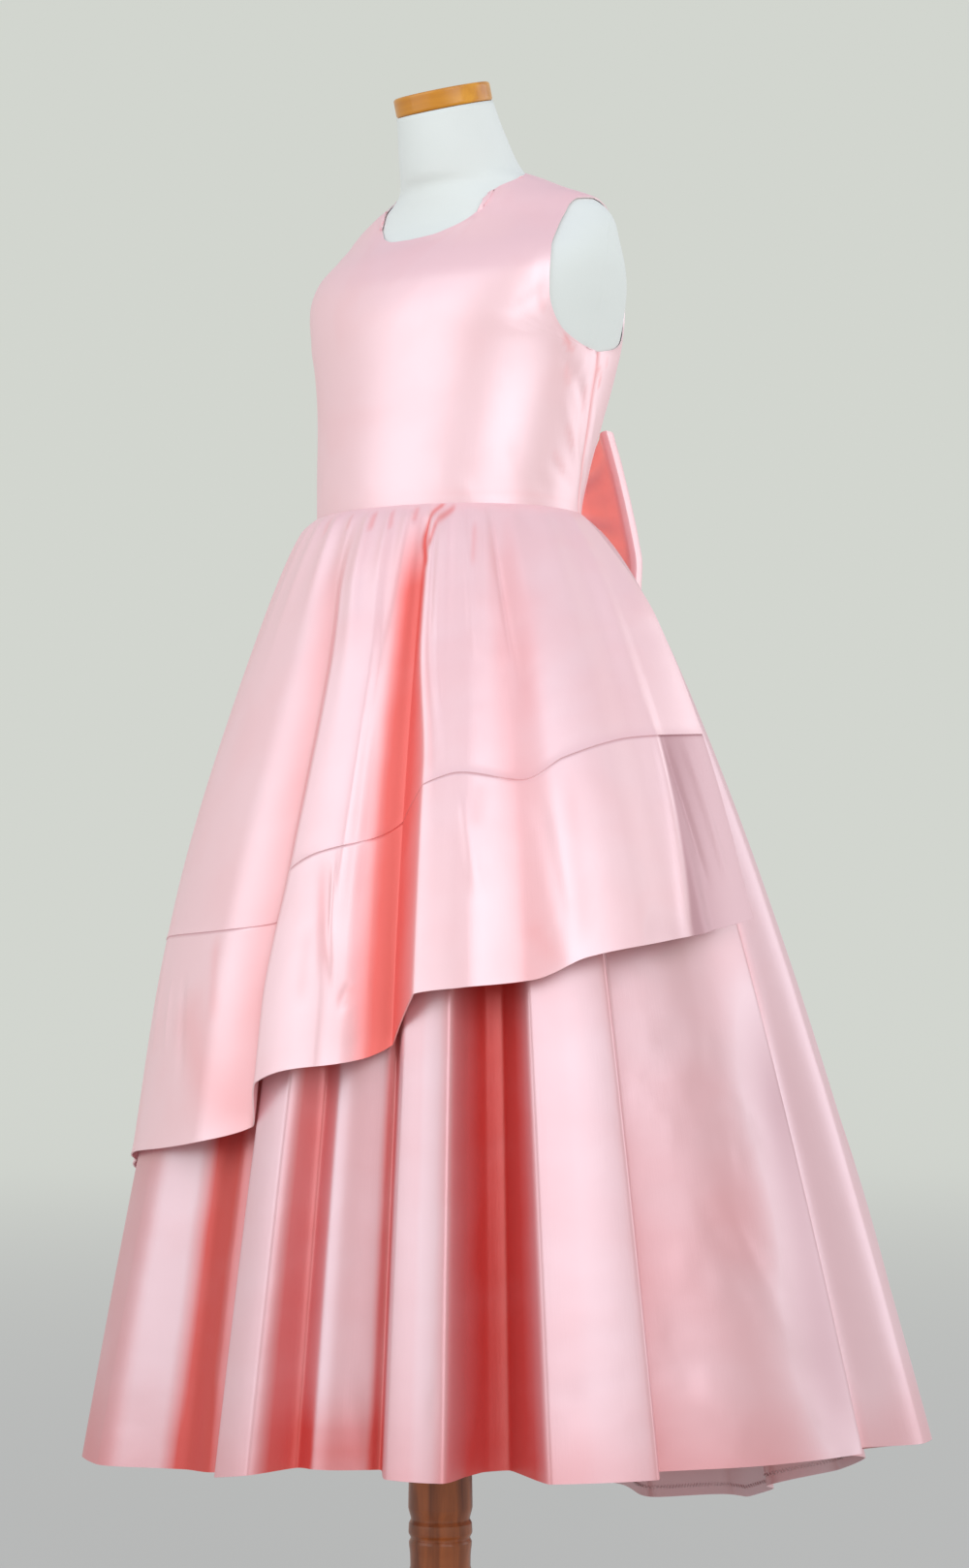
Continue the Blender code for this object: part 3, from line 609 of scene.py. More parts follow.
# %% [markdown]
# ## The skirt's own shape
# A full skirt starts at the waist as an oval and opens out as it falls, fast
# at first and then more slowly. At the hem it stands in flutes. A table gives
# each flute's valley and crest, as distances outside a circle that is set back
# behind the post, because the gown is longer at the back. Between waist and
# hem each point lies on a line from the waist's oval to the fluted hem.

# %% Folds, hem line and gathers
WAIST = 1060.0
SEAM_GAP = 0.3
HEM_RADIUS, HEM_SET_BACK, FLARE_POWER = 370.0, 85.0, 0.70
UNDER_OUT, OVER_OUT = 3.8, 6.0
FOLD_COLUMNS, EDGE_COLUMNS = ("turn", "out"), ("turn", "height")
UNDER_FOLDS = (
    (-170, -72), (-162, -22), (-150, -14), (-141, -70), (-133, 4), (-121, -2),
    (-112, -62), (-104, 2), (-92, 6), (-83, -58), (-74, 4), (-64, -4), (-57, -20),
    (-47, 4), (-34, 4), (-22, -32), (-16, -42), (-9, -39), (-4, -46), (1.5, -6),
    (8.5, -3), (14, -42), (19, -33), (28.5, -48), (30.5, -52), (33.5, -6), (42, 5),
    (46.5, -34), (51, -61), (54.8, -66), (57.2, 7), (72, 3), (76.5, -37), (94, -20), (110, -15),
    (117, -36), (126, 4), (140, 8), (149, -66), (156, -16), (163, -10), (170, -58),
    (176, -12), (182, -8),
)
OVER_FOLDS = (
    (-112, -6), (-104, -2), (-92, 2), (-82, -14), (-72, 4), (-62, -2), (-56, -8),
    (-48, -2), (-30, 4), (-14, 0), (-2.6, -22), (1.6, 6), (9, 9), (15, 5), (20, -11), (25, -36),
    (30.4, -46), (32.8, 12), (45, 18), (55, 4), (64, 19), (76, 16), (84, 8),
    (89.5, 12), (94, 0), (107, -9), (112, -12),
)
HEM_LINE = (
    (-180, 152), (-165, 155), (-145, 168), (-120, 190), (-90, 222), (-45, 243),
    (-5, 253), (20, 266), (90, 266), (130, 256), (150, 225), (165, 190), (180, 152),
)
OVER_EDGE_COLUMNS = ("turn", "seam_height", "hem_height")
OVER_EDGE = (
    (-107, 640, 447), (-48, 690, 502), (-2.6, 703, 535), (1.6, 748, 572), (30.4, 785, 603),
    (32.8, 815, 645), (44, 825, 650), (57, 819, 656), (66, 838, 674), (84, 857, 689),
    (107, 864, 707),
)
OVER_SIDE = 107.0
BAND_STAND_OUT, EDGE_FLARE = 17.0, 14.0
OVER_GATHERS = (
    (-98, 4, 2.4, 90), (-84, 3.2, 2, 70), (-71, 4, 2.6, 110), (-58, 3, 2.2, 80),
    (-46, 3.6, 2.4, 120), (-34, 2.8, 2, 70), (-23, 3, 2.6, 95), (-12, 2.6, 3, 80),
    (-3, 2.4, 2.4, 60), (6, 2.6, 3.6, 120), (15, 2.2, 2.4, 70), (23, 3, 4.5, 150),
    (34, 3, 8.5, 200), (42, 2.6, 2.6, 75), (51, 2.6, 2.2, 95), (62, 3.6, 2, 70),
    (76, 4.2, 1.8, 90), (92, 4.4, 2.4, 110),
)
UNDER_GATHERS = (
    (118, 3.4, 2.2, 90), (130, 3.6, 3, 130), (142, 3, 2.2, 80), (152, 3.2, 2.8, 110),
    (163, 3, 2.4, 70), (175, 3.4, 3, 120), (187, 3, 2.4, 80), (198, 3.2, 2.8, 105),
    (209, 3, 2.2, 75), (221, 3.6, 3, 125), (234, 3.4, 2.4, 90), (246, 3.4, 2.2, 80),
)


def hem_circle(turn):
    """Distance from the post to the set-back circle, by the cosine rule."""
    angle = np.radians(turn)
    return -HEM_SET_BACK * np.cos(angle) + np.sqrt(
        HEM_RADIUS ** 2 - (HEM_SET_BACK * np.sin(angle)) ** 2
    )


def fold_out(turn, folds, wrap):
    """Smooth run through the table's valleys and crests."""
    turns = column(folds, FOLD_COLUMNS, "turn")
    outs = column(folds, FOLD_COLUMNS, "out")
    if wrap:
        turns = np.concatenate([turns[-3:] - 360.0, turns, turns[:3] + 360.0])
        outs = np.concatenate([outs[-3:], outs, outs[:3]])
        turn = signed(turn)
    return through(turn, turns, outs)


def hem_height(turn):
    """Height of the underskirt's hem."""
    return read(HEM_LINE, EDGE_COLUMNS, "height", signed(turn))


def over_edge(turn, name):
    """Height of the overskirt's seam or hem."""
    return read(OVER_EDGE, OVER_EDGE_COLUMNS, name, turn)


def gathers(turn, drop, table):
    """Sum of ridges at the waist: bells across, fading down their lengths."""
    total = np.zeros(np.broadcast(turn, drop).shape)
    for at, half_width, out, length in table:
        total += out * bell(turn - at, half_width) * np.exp(-(drop / length) ** 2)
    return total * ease(drop / 10.0)


def skirt_point(turn, height, folds, wrap, waist_out, placed=None):
    """Mix of the waist's oval and the fluted hem.

    The share of the hem is the drop below the waist, as a part of the whole
    drop, to the power 0.7. Folds that lean round the gown have their turns in
    turn and the turns where they are placed in placed.
    """
    placed = turn if placed is None else placed
    waist = off_form(placed, np.full(np.shape(turn), WAIST), waist_out)
    drop = np.clip((WAIST - height) / (WAIST - hem_height(turn)), 0.0, 1.2)
    flare = drop ** FLARE_POWER
    reach = hem_circle(placed) + fold_out(turn, folds, wrap)
    angle = np.radians(placed)
    x = waist[..., 0] * (1 - flare) + reach * np.sin(angle) * flare
    y = waist[..., 1] * (1 - flare) - reach * np.cos(angle) * flare
    return np.stack([x, y, height + 0.0 * x], -1), drop


def moved_out(points, turn, out):
    """Points moved away from the post in the level plane."""
    angle = np.radians(turn)
    ways = np.stack([np.sin(angle), -np.cos(angle), 0.0 * angle], -1)
    return points + out[..., None] * ways


def dense_turns(start, end, nodes, count):
    """Turns from start to end, closer together on the folds' steep sides."""
    fine = np.linspace(start, end, 4000)
    nearest = np.abs(fine[:, None] - nodes[None, :]).min(axis=1)
    weight = 1.0 + 2.2 * bell(nearest, 1.8)
    total = running((weight[1:] + weight[:-1]) / 2)
    return np.interp(np.linspace(0.0, total[-1], count), total, fine)


# %% [markdown]
# ## The underskirt
# The underskirt is made of two widths of cloth joined at the side seams and
# gathered into the waist, so it is one tube. It is cut long enough to hang
# free all round, and stands in a dozen flutes. It is the sheet that every
# other piece of the skirt hangs over.

# %% Make the underskirt
UNDER_CREASES = (
    (84, 612, 91, 598, 6, -1.9), (79, 566, 86, 530, 6, 1.3), (90, 560, 96, 600, 8, -1.5),
    (88, 470, 95, 395, 5, -1.5), (93, 455, 99, 380, 6, 1.3), (82, 430, 92, 405, 4, 1.2),
    (96, 350, 106, 330, 6, -1.3), (84, 330, 90, 290, 6, 1.2), (101, 300, 108, 275, 6, 1.3),
    (91, 530, 99, 500, 4, -1.2), (80, 380, 84, 330, 5, -1.2), (98, 560, 104, 520, 5, 1.1),
    (60, 322, 69, 338, 2.5, -0.9), (40, 330, 42, 318, 3, -0.8), (-13, 400, -8, 425, 5, 0.5),
    (-30, 300, -26, 280, 7, -1), (-14, 295, -10, 275, 6, 0.8), (24, 340, 27, 280, 6, -0.8),
    (128, 620, 133, 480, 9, -1.8), (134, 520, 138, 380, 8, 1.4), (158, 640, 160, 470, 9, -1.6),
    (178, 600, 181, 430, 8, 1.6), (205, 640, 203, 460, 9, -1.8), (224, 560, 222, 400, 8, 1.5),
    (238, 600, 236, 430, 9, -1.6), (-98, 520, -95, 380, 8, 1.6), (-70, 420, -68, 320, 7, -1.4),
)
UNDER_SHADES = (
    (110, 620, 107, 230, 36, -0.75), (96, 420, 88, 240, 60, -0.14),
    (14, 285, 30, 285, 30, 0.4),
)
# Painted shade by turn round the underskirt.
UNDER_PAINTED_SHADE = (
    (-180, 0.1), (-172, 0.6), (-168, 0.6), (-160, 0.05), (-150, 0.05), (-143, 0.7), (-138, 0.6),
    (-132, 0), (-120, 0.05), (-113, 0.7), (-108, 0.5), (-103, 0), (-92, 0), (-85, 0.7),
    (-80, 0.5), (-73, 0), (-64, 0), (-57, 0.35), (-50, 0.3), (-44, 0.3), (-36, 0.3),
    (-31, 0.22), (-28.5, 0), (-23.5, 0), (-20.5, 0.5), (-18.3, 1), (-11, 1), (-9, 0.85),
    (-7, 0.6), (-2, 0.55), (0, 0.1), (4, 0.05), (8.5, 0.1), (10, 0.45), (11, 0.8),
    (13.5, 0.8), (15, 0.7), (17.5, 0.5), (18.5, 0), (20, 0.05), (22, 0.16), (27.5, 0.2),
    (29.5, 0.8), (31.8, 0.7), (33, 0.12), (37, 0.1), (38.5, 0), (40, 0), (42.5, 0.4),
    (47.5, 0.88), (50, 1), (55.8, 1), (57.2, 0.24), (58, 0.15), (62, 0.13), (64.5, 0.08),
    (70.5, 0.07), (72.5, 0.25), (74.5, 0.42), (78, 0.36), (84, 0.31), (98, 0.34), (110, 0.38),
    (113.5, 0.6), (116, 0.6), (118, 0.2), (120, 0), (130, 0), (141, 0.05), (148, 0.7),
    (151, 0.6), (156, 0.05), (164, 0.05), (169, 0.6), (172, 0.5), (176, 0.05), (180, 0.1),
)


FADE, HEM_PAINTED_SHADE = 0.7, 0.24
UNDER_COLUMNS, UNDER_ROWS = 620, 68


def underskirt_point(turn, height):
    """Outer face of the underskirt with its gathers, flutes and creases."""
    points, drop = skirt_point(turn, height, UNDER_FOLDS, True, UNDER_OUT)
    ridges = gathers(turn % 360.0, WAIST - height, UNDER_GATHERS)
    around = np.where(turn > 258.0, turn - 360.0, turn)
    return moved_out(points, turn, ridges + creases(around, height, UNDER_CREASES))


nodes = column(UNDER_FOLDS, FOLD_COLUMNS, "turn")
nodes = np.concatenate([nodes - 360.0, nodes, nodes + 360.0])
turns = dense_turns(-112.0, 248.0, nodes, UNDER_COLUMNS + 1)[:-1]
shares = np.linspace(0.0, 1.0, UNDER_ROWS)[:, None] ** 1.25
top = WAIST - SEAM_GAP
turn = turns + 0.0 * shares
height = top + (hem_height(turn) - top) * shares
points = underskirt_point(turn, height)[::-1]
around = signed(turns)
# Painted shade on the underskirt: shade by turn from a table, faded towards the waist, at the
# back's hem and high on the side, darker near the hem except at the back, with strokes of painted
# shade added.
painted_shade_value = painted_shade_at(around, UNDER_PAINTED_SHADE)
level = height[::-1]
near_hem = ease((345.0 - level) / 110.0)
at_back = ease((np.abs(around) - 128.0) / 10.0)
on_side = ease((around - 72.0) / 3.0) * ease((113.0 - around) / 3.0)
painted_shade = painted_shade_value * ease(shares[::-1] / 0.25)
painted_shade = painted_shade * (1 - FADE * at_back * ease((230.0 - level) / 60.0))
painted_shade = painted_shade * (1 - FADE * on_side * ease((level - 400.0) / 260.0))
painted_shade = painted_shade + HEM_PAINTED_SHADE * near_hem * (1 - at_back)
painted_shade = np.clip(painted_shade + creases(around + 0.0 * level, level, UNDER_SHADES), -1.0, 1.0)
underskirt = grid_object("underskirt", points, shaded_satin, painted_shade, closed=True)
give_wall(underskirt)
closed_points = np.concatenate([points, points[:, :1]], axis=1)
hem_steps = steps_along(closed_points[0])
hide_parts("underskirt_front", "underskirt_back")

# %% [markdown]
# ## Stitches in the hem
# The hem is turned up once and held by a zigzag stitch. It shows on the inside
# where the back hangs lower than the front. The thread is a thin square tube
# that runs to and fro just inside the cloth, a step for every half stitch.

# %% Sew the hem
HALF_STITCH, STITCH_LOW, STITCH_HIGH, THREAD_RADIUS = 1.6, 8.0, 11.5, 0.35
hem_length = running(hem_steps)
count = 2 * int(hem_length[-1] / HALF_STITCH / 2)
at = np.linspace(0.0, hem_length[-1], count + 1)
turn = np.interp(at, hem_length, np.append(turns, turns[0] + 360.0))
height = hem_height(turn) + np.where(np.arange(count + 1) % 2 == 0, STITCH_LOW, STITCH_HIGH)
normal = normal_of(underskirt_point, turn, height, 0.1)
path = underskirt_point(turn, height) - (CLOTH + THREAD_RADIUS) * normal
upright = np.array([0.0, 0.0, 1.0])
tube = np.stack([path + THREAD_RADIUS * (a * normal + b * upright)
                 for a, b in ((1, 0), (0, 1), (-1, 0), (0, -1))], axis=1)
grid_object("hem_stitches", tube, edge_highlight_and_thread_satin, 0.0 * tube[..., 0], closed=True)
print("half stitches in the hem:", count)

# %% [markdown]
# ## The overskirt
# The overskirt wraps from the wearer's right side back to the left side back
# and leaves the back open. Its lower edge climbs from right to left, and a deep
# straight band is sewn to it, which makes the edge stand away from the
# underskirt. Two big folds tuck the edge back, so it drops in steps. Each tuck
# at the waist is both a crease in the cloth and a line of painted shade in its
# colour.

# %% Make the overskirt and its band
TUCKS = (
    ((36, 1060, 31.4, 1046, 3.6), -1.8, 0.7), ((31.4, 1046, 29.8, 1026, 3.6), -1.8, 0.7),
    ((29.8, 1026, 32.4, 1003, 3.6), -1.4, 0.7), ((40.5, 1056, 34.6, 1043, 3.6), -1.6, 0.6),
    ((34.6, 1043, 32.6, 1020, 3.2), -1.4, 0.6), ((8, 1055, 8, 1038, 4.5), -1.0, 0.35),
    ((15.6, 1055, 16.4, 1038, 4), -0.9, 0.3), ((25.6, 1057, 25.2, 1044, 4), -0.9, 0.3),
)
OVER_CREASES = (
    *((*line, out) for line, out, painted_shade_value in TUCKS), (90.8, 872, 86.4, 690, 5, 1.2),
    (10, 752, 17.5, 655, 8, -1.8), (13, 752, 18.6, 650, 4, 1), (21, 650, 20, 632, 4, -1.4),
    (-24, 655, -20, 580, 4, -1.6), (-30, 650, -28, 600, 4, 1), (-40, 720, -36, 600, 9, 1),
    (44, 800, 47, 730, 6, 1), (60, 800, 63, 700, 7, -1), (93, 850, 95, 740, 4, -1.4),
    (99, 850, 101, 740, 4.5, 1.4), (-75, 800, -72, 640, 8, -1.4), (-95, 760, -92, 600, 8, 1.4),
    (54, 1050, 58, 900, 5, -1.5), (44, 1050, 47, 930, 5, 1), (35.5, 1040, 37, 880, 3, -1.5),
)
# Painted shade by turn round the overskirt.
OVER_PAINTED_SHADE = (
    (-112, 0), (-92, 0), (-84, 0.3), (-78, 0.2), (-70, 0), (-56, 0.12), (-48, 0.1),
    (-30, 0), (-12, 0.03), (-4, 0.35), (0, 0.3), (2, 0.02), (15, 0.04), (20, 0.12),
    (22, 0.25), (24.5, 0.75), (27, 1), (31, 1), (32, 0.8), (33.4, 0.08), (40, 0.04),
    (50, 0.08), (55, 0.3), (59, 0.25), (65, 0.03), (112, 0),
)
OVER_SHADES = (
    *((*line, painted_shade_value) for line, out, painted_shade_value in TUCKS), (-4, 1055, -4, 1042, 4.5, 0.2),
    (-18, 1054, -16, 1040, 5, 0.18), (64, 990, 60, 866, 14, 0.12),
    (57, 1040, 53.6, 950, 7, -0.08), (48, 1040, 47, 1004, 4, 0.2), (34.5, 960, 34, 820, 4, 0.15),
)
LEAN_COLUMNS = ("height", "shift")
OVER_LEAN = ((450, 2.4), (635, 2.4), (690, 3.4), (747, 5.0), (860, 5.9), (914, 5.4), (955, 3.9),
             (997, 1.4), (1060, 0))
EDGE_LEAN = ((450, 3.0), (830, 3.0), (940, 0.3), (1010, 0.0), (1060, 0.0))


def leaned(turn, height):
    """Turns of the front's two folds, which lean round the gown as they fall."""
    middle, edge = (
        read(table, LEAN_COLUMNS, "shift", height) for table in (OVER_LEAN, EDGE_LEAN)
    )
    placed = turn + middle * ease((turn + 22.0) / 19.0) * ease((24.0 - turn) / 15.0)
    return placed + edge * ease((turn - 30.6) / 2.0) * ease((46.0 - turn) / 11.0)


def overskirt_point(turn, height):
    """Outer face of the overskirt, standing off towards its band."""
    placed = leaned(turn, height)
    points, drop = skirt_point(turn, height, OVER_FOLDS, False, OVER_OUT, placed)
    stand = BAND_STAND_OUT * ease(drop / 0.42) * (1 - 0.45 * ease((drop - 0.46) / 0.26))
    flare = EDGE_FLARE * ease((np.abs(turn) - 84.0) / 23.0)
    flare *= ease(drop / 0.12) * (1 - 0.8 * ease((drop - 0.15) / 0.3))
    ridges = gathers(turn, WAIST - height, OVER_GATHERS)
    ridges += creases(turn, height, OVER_CREASES)
    return moved_out(points, placed, stand + flare + ridges)


LAP, SEAM_PAINTED_SHADE, FREE_END_PAINTED_SHADE = 5.0, 0.55, 0.75
OVER_COLUMNS, OVER_ROWS, BAND_ROWS = 420, 72, 44
FREE_END_TURN, FREE_END_LOW, FREE_END_SLANT = 86.4, 696.0, 0.026
BAND_SHADES = (
    (10, 695, 11, 640, 7, 0.13),
    (9, 752, 16, 665, 8, 0.22), (22, 650, 21, 634, 4, 0.2), (-15, 690, -12.5, 625, 5, 0.15),
    (48, 815, 47, 780, 8, 0.14), (66, 815, 66, 690, 9, 0.16), (57, 700, 62, 668, 9, 0.12),
    (-22, 640, -8, 540, 22, 0.2), (78, 700, 86, 690, 16, -0.12),
)
nodes = column(OVER_FOLDS, FOLD_COLUMNS, "turn")
turns = dense_turns(-OVER_SIDE, OVER_SIDE, nodes, OVER_COLUMNS)
seam = over_edge(turns, "seam_height")
hem = over_edge(turns, "hem_height")
shares = np.linspace(0.0, 1.0, OVER_ROWS)[:, None] ** 1.15
height = top + (seam - top) * shares
turn = turns + 0.0 * height
points = overskirt_point(turn, height)[::-1]
points = moved_out(points, turn, 0.7 * bell(height[::-1] - seam, 2.5))
# Painted shade on the overskirt: shade by turn from a table, faded towards the waist, with strokes
# of painted shade along the tucks and folds.
painted_shade = painted_shade_at(turns, OVER_PAINTED_SHADE) * ease(shares[::-1] / 0.3)
painted_shade = np.clip(painted_shade + creases(turn, height, OVER_SHADES)[::-1], 0.0, 1.0)
overskirt = grid_object("overskirt", points, satin, painted_shade)
give_wall(overskirt)
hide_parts("overskirt_upper")

shares = np.linspace(0.0, 1.0, BAND_ROWS)[:, None]
height = seam + LAP + (hem - seam - LAP) * shares ** 1.3
turn = turns + 0.0 * height
points = overskirt_point(turn, height)[::-1]
level = height[::-1]
swell = bell(level - (hem + 2.0), 3.0) - 2.2 * ease((level - seam + 1.0) / 3.0)
points = moved_out(points, turn, swell)
# Painted shade on the band: its free end, which faces away from the windows, is dulled, a thin
# line under the seam is darkened where the band is pale, and strokes of painted shade are added.
turned_back = turn - (FREE_END_TURN + (level - FREE_END_LOW) * FREE_END_SLANT)
in_shade = ease(turned_back / 1.6) * (1 - 0.35 * ease(turned_back / 14.0))
painted_shade = painted_shade_at(turns, OVER_PAINTED_SHADE) * (1 - in_shade) - FREE_END_PAINTED_SHADE * in_shade
line = SEAM_PAINTED_SHADE * bell(level - seam, 1.5) * (1 - ease(painted_shade / 0.4))
painted_shade = np.clip(painted_shade + creases(turn, level, BAND_SHADES) - line, -1.0, 1.0)
band = grid_object("overskirt_band_cloth", points, satin, painted_shade)
give_wall(band)
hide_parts("overskirt_band")

# %% [markdown]
# ## The bodice
# The bodice is cut as one front and two backs. On the body each is a patch
# with four sides: the waist, the side seam with the armhole above it, the
# shoulder seam with the neckline, and the centre line. The patch is worked out
# in lengths round the torso, as a paper pattern is, and then laid on it.

# %% Edges of the pattern pieces
SHOULDER_TIP, SHOULDER_NECK = 1334.0, 1364.0
SHOULDER_CELLS, SIDE_CELLS, ARM_CELLS = 20, 30, 38
SIDE_SEAM = ((115, 1060), (110, 1084), (104, 1123), (98, 1166), (96, 1199))
FRONT_ARMHOLE = (
    (96, 1199), (87.5, 1201), (80, 1206), (73.5, 1213.5), (68.5, 1225.5), (65, 1239),
    (62, 1261.5), (57.5, 1290), (56, 1308), (59, 1323), (70, 1333), (90, 1334),
)
BACK_ARMHOLE = (
    (96, 1199), (108, 1205), (117, 1212), (124, 1222), (129, 1240), (131, 1262),
    (129, 1285), (122, 1308), (110, 1325), (90, 1334),
)
FRONT_NECKLINE = (
    (0, 1302.5), (8, 1304), (15, 1310.5), (23.5, 1326), (35, 1345), (60, 1357), (90, 1364),
)
BACK_NECKLINE = ((180, 1345), (160, 1346), (140, 1351), (118, 1359), (90, 1364))


def arc_lengths(height, turns):
    """Lengths round the torso at each height, from the first turn to each."""
    level, around = np.meshgrid(height, turns, indexing="ij")
    steps = np.linalg.norm(np.diff(form_point(around, level), axis=1), axis=-1)
    return np.concatenate([np.zeros((len(height), 1)), np.cumsum(steps, axis=1)], axis=1)


def along_edge(rows, cells):
    """Evenly spaced turns and heights along an edge."""
    turn, height = (column(rows, EDGE_COLUMNS, name) for name in EDGE_COLUMNS)
    length = running(steps_along(form_point(turn, height)))
    at = np.linspace(0.0, length[-1], cells + 1)
    return np.stack([through(at, length, turn), through(at, length, height)])


def between(first, second, share):
    """Straight mix of two values."""
    return (1 - share) * first + share * second


def bodice_half(neckline, armhole, centre_turn, neck_cells):
    """Turns and heights of half a bodice panel, from its centre line out.

    The grid is a Coons patch: the sum of the two ruled surfaces between
    opposite edges, less the bilinear surface through the four corners.
    """
    way = 1.0 if centre_turn < 90.0 else -1.0
    known = centre_turn + way * np.arange(0.0, 122.0, 0.5)
    shoulder = np.stack([
        np.full(SHOULDER_CELLS, 90.0),
        np.linspace(SHOULDER_NECK, SHOULDER_TIP, SHOULDER_CELLS + 1)[1:],
    ])
    top = np.hstack([along_edge(neckline, neck_cells), shoulder])
    side = np.hstack([along_edge(SIDE_SEAM, SIDE_CELLS), along_edge(armhole, ARM_CELLS)[:, 1:]])
    u = np.linspace(0.0, 1.0, top.shape[1])
    v = np.linspace(0.0, 1.0, side.shape[1])

    def measured(turn, height):
        """Length round the torso from the centre line to each turn."""
        table = arc_lengths(height, known)
        return np.array([np.interp(way * t, way * known, row) for t, row in zip(turn, table)])

    edges = {
        "height": (np.full(len(u), WAIST), top[1], between(WAIST, top[1, 0], v), side[1]),
        "arc": (u * measured(*side[:, :1])[0], measured(*top), 0.0 * v, measured(*side)),
    }
    uu, vv = np.meshgrid(u, v)
    patch = {}
    for name, (bottom, head, left, right) in edges.items():
        ruled = between(bottom, head, vv) + between(left[:, None], right[:, None], uu)
        low, high = between(bottom[0], bottom[-1], uu), between(head[0], head[-1], uu)
        patch[name] = ruled - between(low, high, vv)
    table = arc_lengths(patch["height"].ravel(), known)
    flat = [np.interp(a, row, known) for a, row in zip(patch["arc"].ravel(), table)]
    return np.array(flat).reshape(uu.shape), patch["height"]


# %% [markdown]
# The front's satin lies smooth over the chest. It pulls into a few soft
# wrinkles below the armhole, where the side seam is eased, and above the waist
# seam, where the skirt's weight draws it down.

# %% Make the three bodice panels
BODICE_CREASES = (
    (86, 1176, 102, 1120, 6, -1.1), (78, 1160, 100, 1100, 7, 0.8), (72, 1198, 92, 1156, 6, -0.8),
    (90, 1130, 106, 1090, 5, 0.8), (80, 1100, 104, 1076, 5, -0.8), (60, 1106, 84, 1072, 8, -0.7),
    (30, 1090, 48, 1066, 8, 0.6), (94, 1190, 97, 1150, 4, -0.9), (88, 1192, 84, 1172, 4, 0.8),
    (104, 1150, 112, 1110, 5, 0.9), (107, 1120, 114, 1080, 5, -0.9), (68, 1218, 74, 1200, 4, 0.6),
    (-30, 1092, -46, 1066, 8, 0.7), (-62, 1110, -84, 1070, 9, -0.9),
    (-84, 1176, -104, 1108, 7, -1.2), (-78, 1160, -100, 1092, 8, 0.9),
    (64, 1246, 52, 1226, 6, -0.7), (-64, 1246, -50, 1224, 7, -0.8),
    (130, 1180, 118, 1100, 8, -1.2), (150, 1150, 140, 1080, 9, 1), (172, 1110, 166, 1068, 6, -0.8),
)
SEAM_HALF_WIDTH, SEAM_DEPTH, SEAM_SHADE, CENTRE_GAP = 1.5, 1.0, 0.4, 0.12
BODICE_SHADES = (
    (75, 1208, 80.5, 1195, 3.5, 0.4), (98.5, 1188, 102, 1170, 3.5, 0.42),
    (78, 1182, 82, 1166, 6, 0.16), (92, 1168, 95, 1146, 6, 0.16), (86, 1132, 94, 1114, 5, 0.12),
    (82, 1108, 92, 1092, 5, 0.14),
    (104, 1112, 107, 1092, 4, 0.18), (105, 1196, 103, 1186, 4, 0.2), (60, 1240, 64, 1226, 5, 0.14),
    (20, 1070, 100, 1068, 3, 0.06),
)


def edge_distances(turn, height, both_sides):
    """Distances from each point to the open edges and to the seams.

    The open edges are the neckline and armholes, and the seams are the side
    seams. Only a front has both on each side.
    """
    points = form_point(turn, height)
    open_edges = [points[-1], points[SIDE_CELLS:, -1]]
    seams = [points[:SIDE_CELLS + 1, -1]]
    if both_sides:
        open_edges.append(points[SIDE_CELLS:, 0])
        seams.append(points[:SIDE_CELLS + 1, 0])
    return [
        np.linalg.norm(points[:, :, None, :] - np.concatenate(edge), axis=-1).min(axis=-1)
        for edge in (open_edges, seams)
    ]


def bodice_points(turn, height, near, seam):
    """Bodice off the torso: closer at open edges, sunk at seams, with wrinkles."""
    folds = creases(signed(turn), height, BODICE_CREASES)
    rest = 1.7 + 1.5 * ease(near / 16.0) - SEAM_DEPTH * bell(seam, SEAM_HALF_WIDTH)
    return off_form(turn, height, (rest + folds * ease(near / 8.0))[..., None])


def bodice_panel(name, turn, height, node_name, distances):
    """One bodice panel with its wall, put in place of its solid node, which is hidden."""
    near, seam = distances
    points = bodice_points(turn, height, near, seam)
    # Painted shade: a line along each side seam, and soft strokes at the wrinkles and the waist
    # seam.
    painted_wrinkle_shade = creases(signed(turn), height, BODICE_SHADES)
    shade = np.clip(SEAM_SHADE * bell(seam, SEAM_HALF_WIDTH) + painted_wrinkle_shade, 0.0, 1.0)
    obj = grid_object(name, points, satin, shade)
    give_wall(obj)
    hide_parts(node_name)


turn, height = bodice_half(FRONT_NECKLINE, FRONT_ARMHOLE, 0.0, 34)
front_turn = np.concatenate([-turn[:, :0:-1], turn], axis=1)
front_height = np.concatenate([height[:, :0:-1], height], axis=1)
distances = edge_distances(front_turn, front_height, True)
bodice_panel("front_bodice", front_turn, front_height, "bodice_front", distances)
turn, height = bodice_half(BACK_NECKLINE, BACK_ARMHOLE, 180.0, 24)
near, seam = edge_distances(turn, height, False)
turn = np.minimum(turn, 180.0 - CENTRE_GAP)
bodice_panel("left_back_bodice", turn[:, ::-1], height[:, ::-1], "bodice_back_left",
             (near[:, ::-1], seam[:, ::-1]))
bodice_panel("right_back_bodice", 360.0 - turn, height, "bodice_back_right",
             (near, seam))

# %% [markdown]
# ## The bow
# A flat band is folded into two loops and bound at the middle by a short
# wrapped piece. The knot squeezes the band, so creases fan out from it, deep
# near the knot and gone at the loop's end.

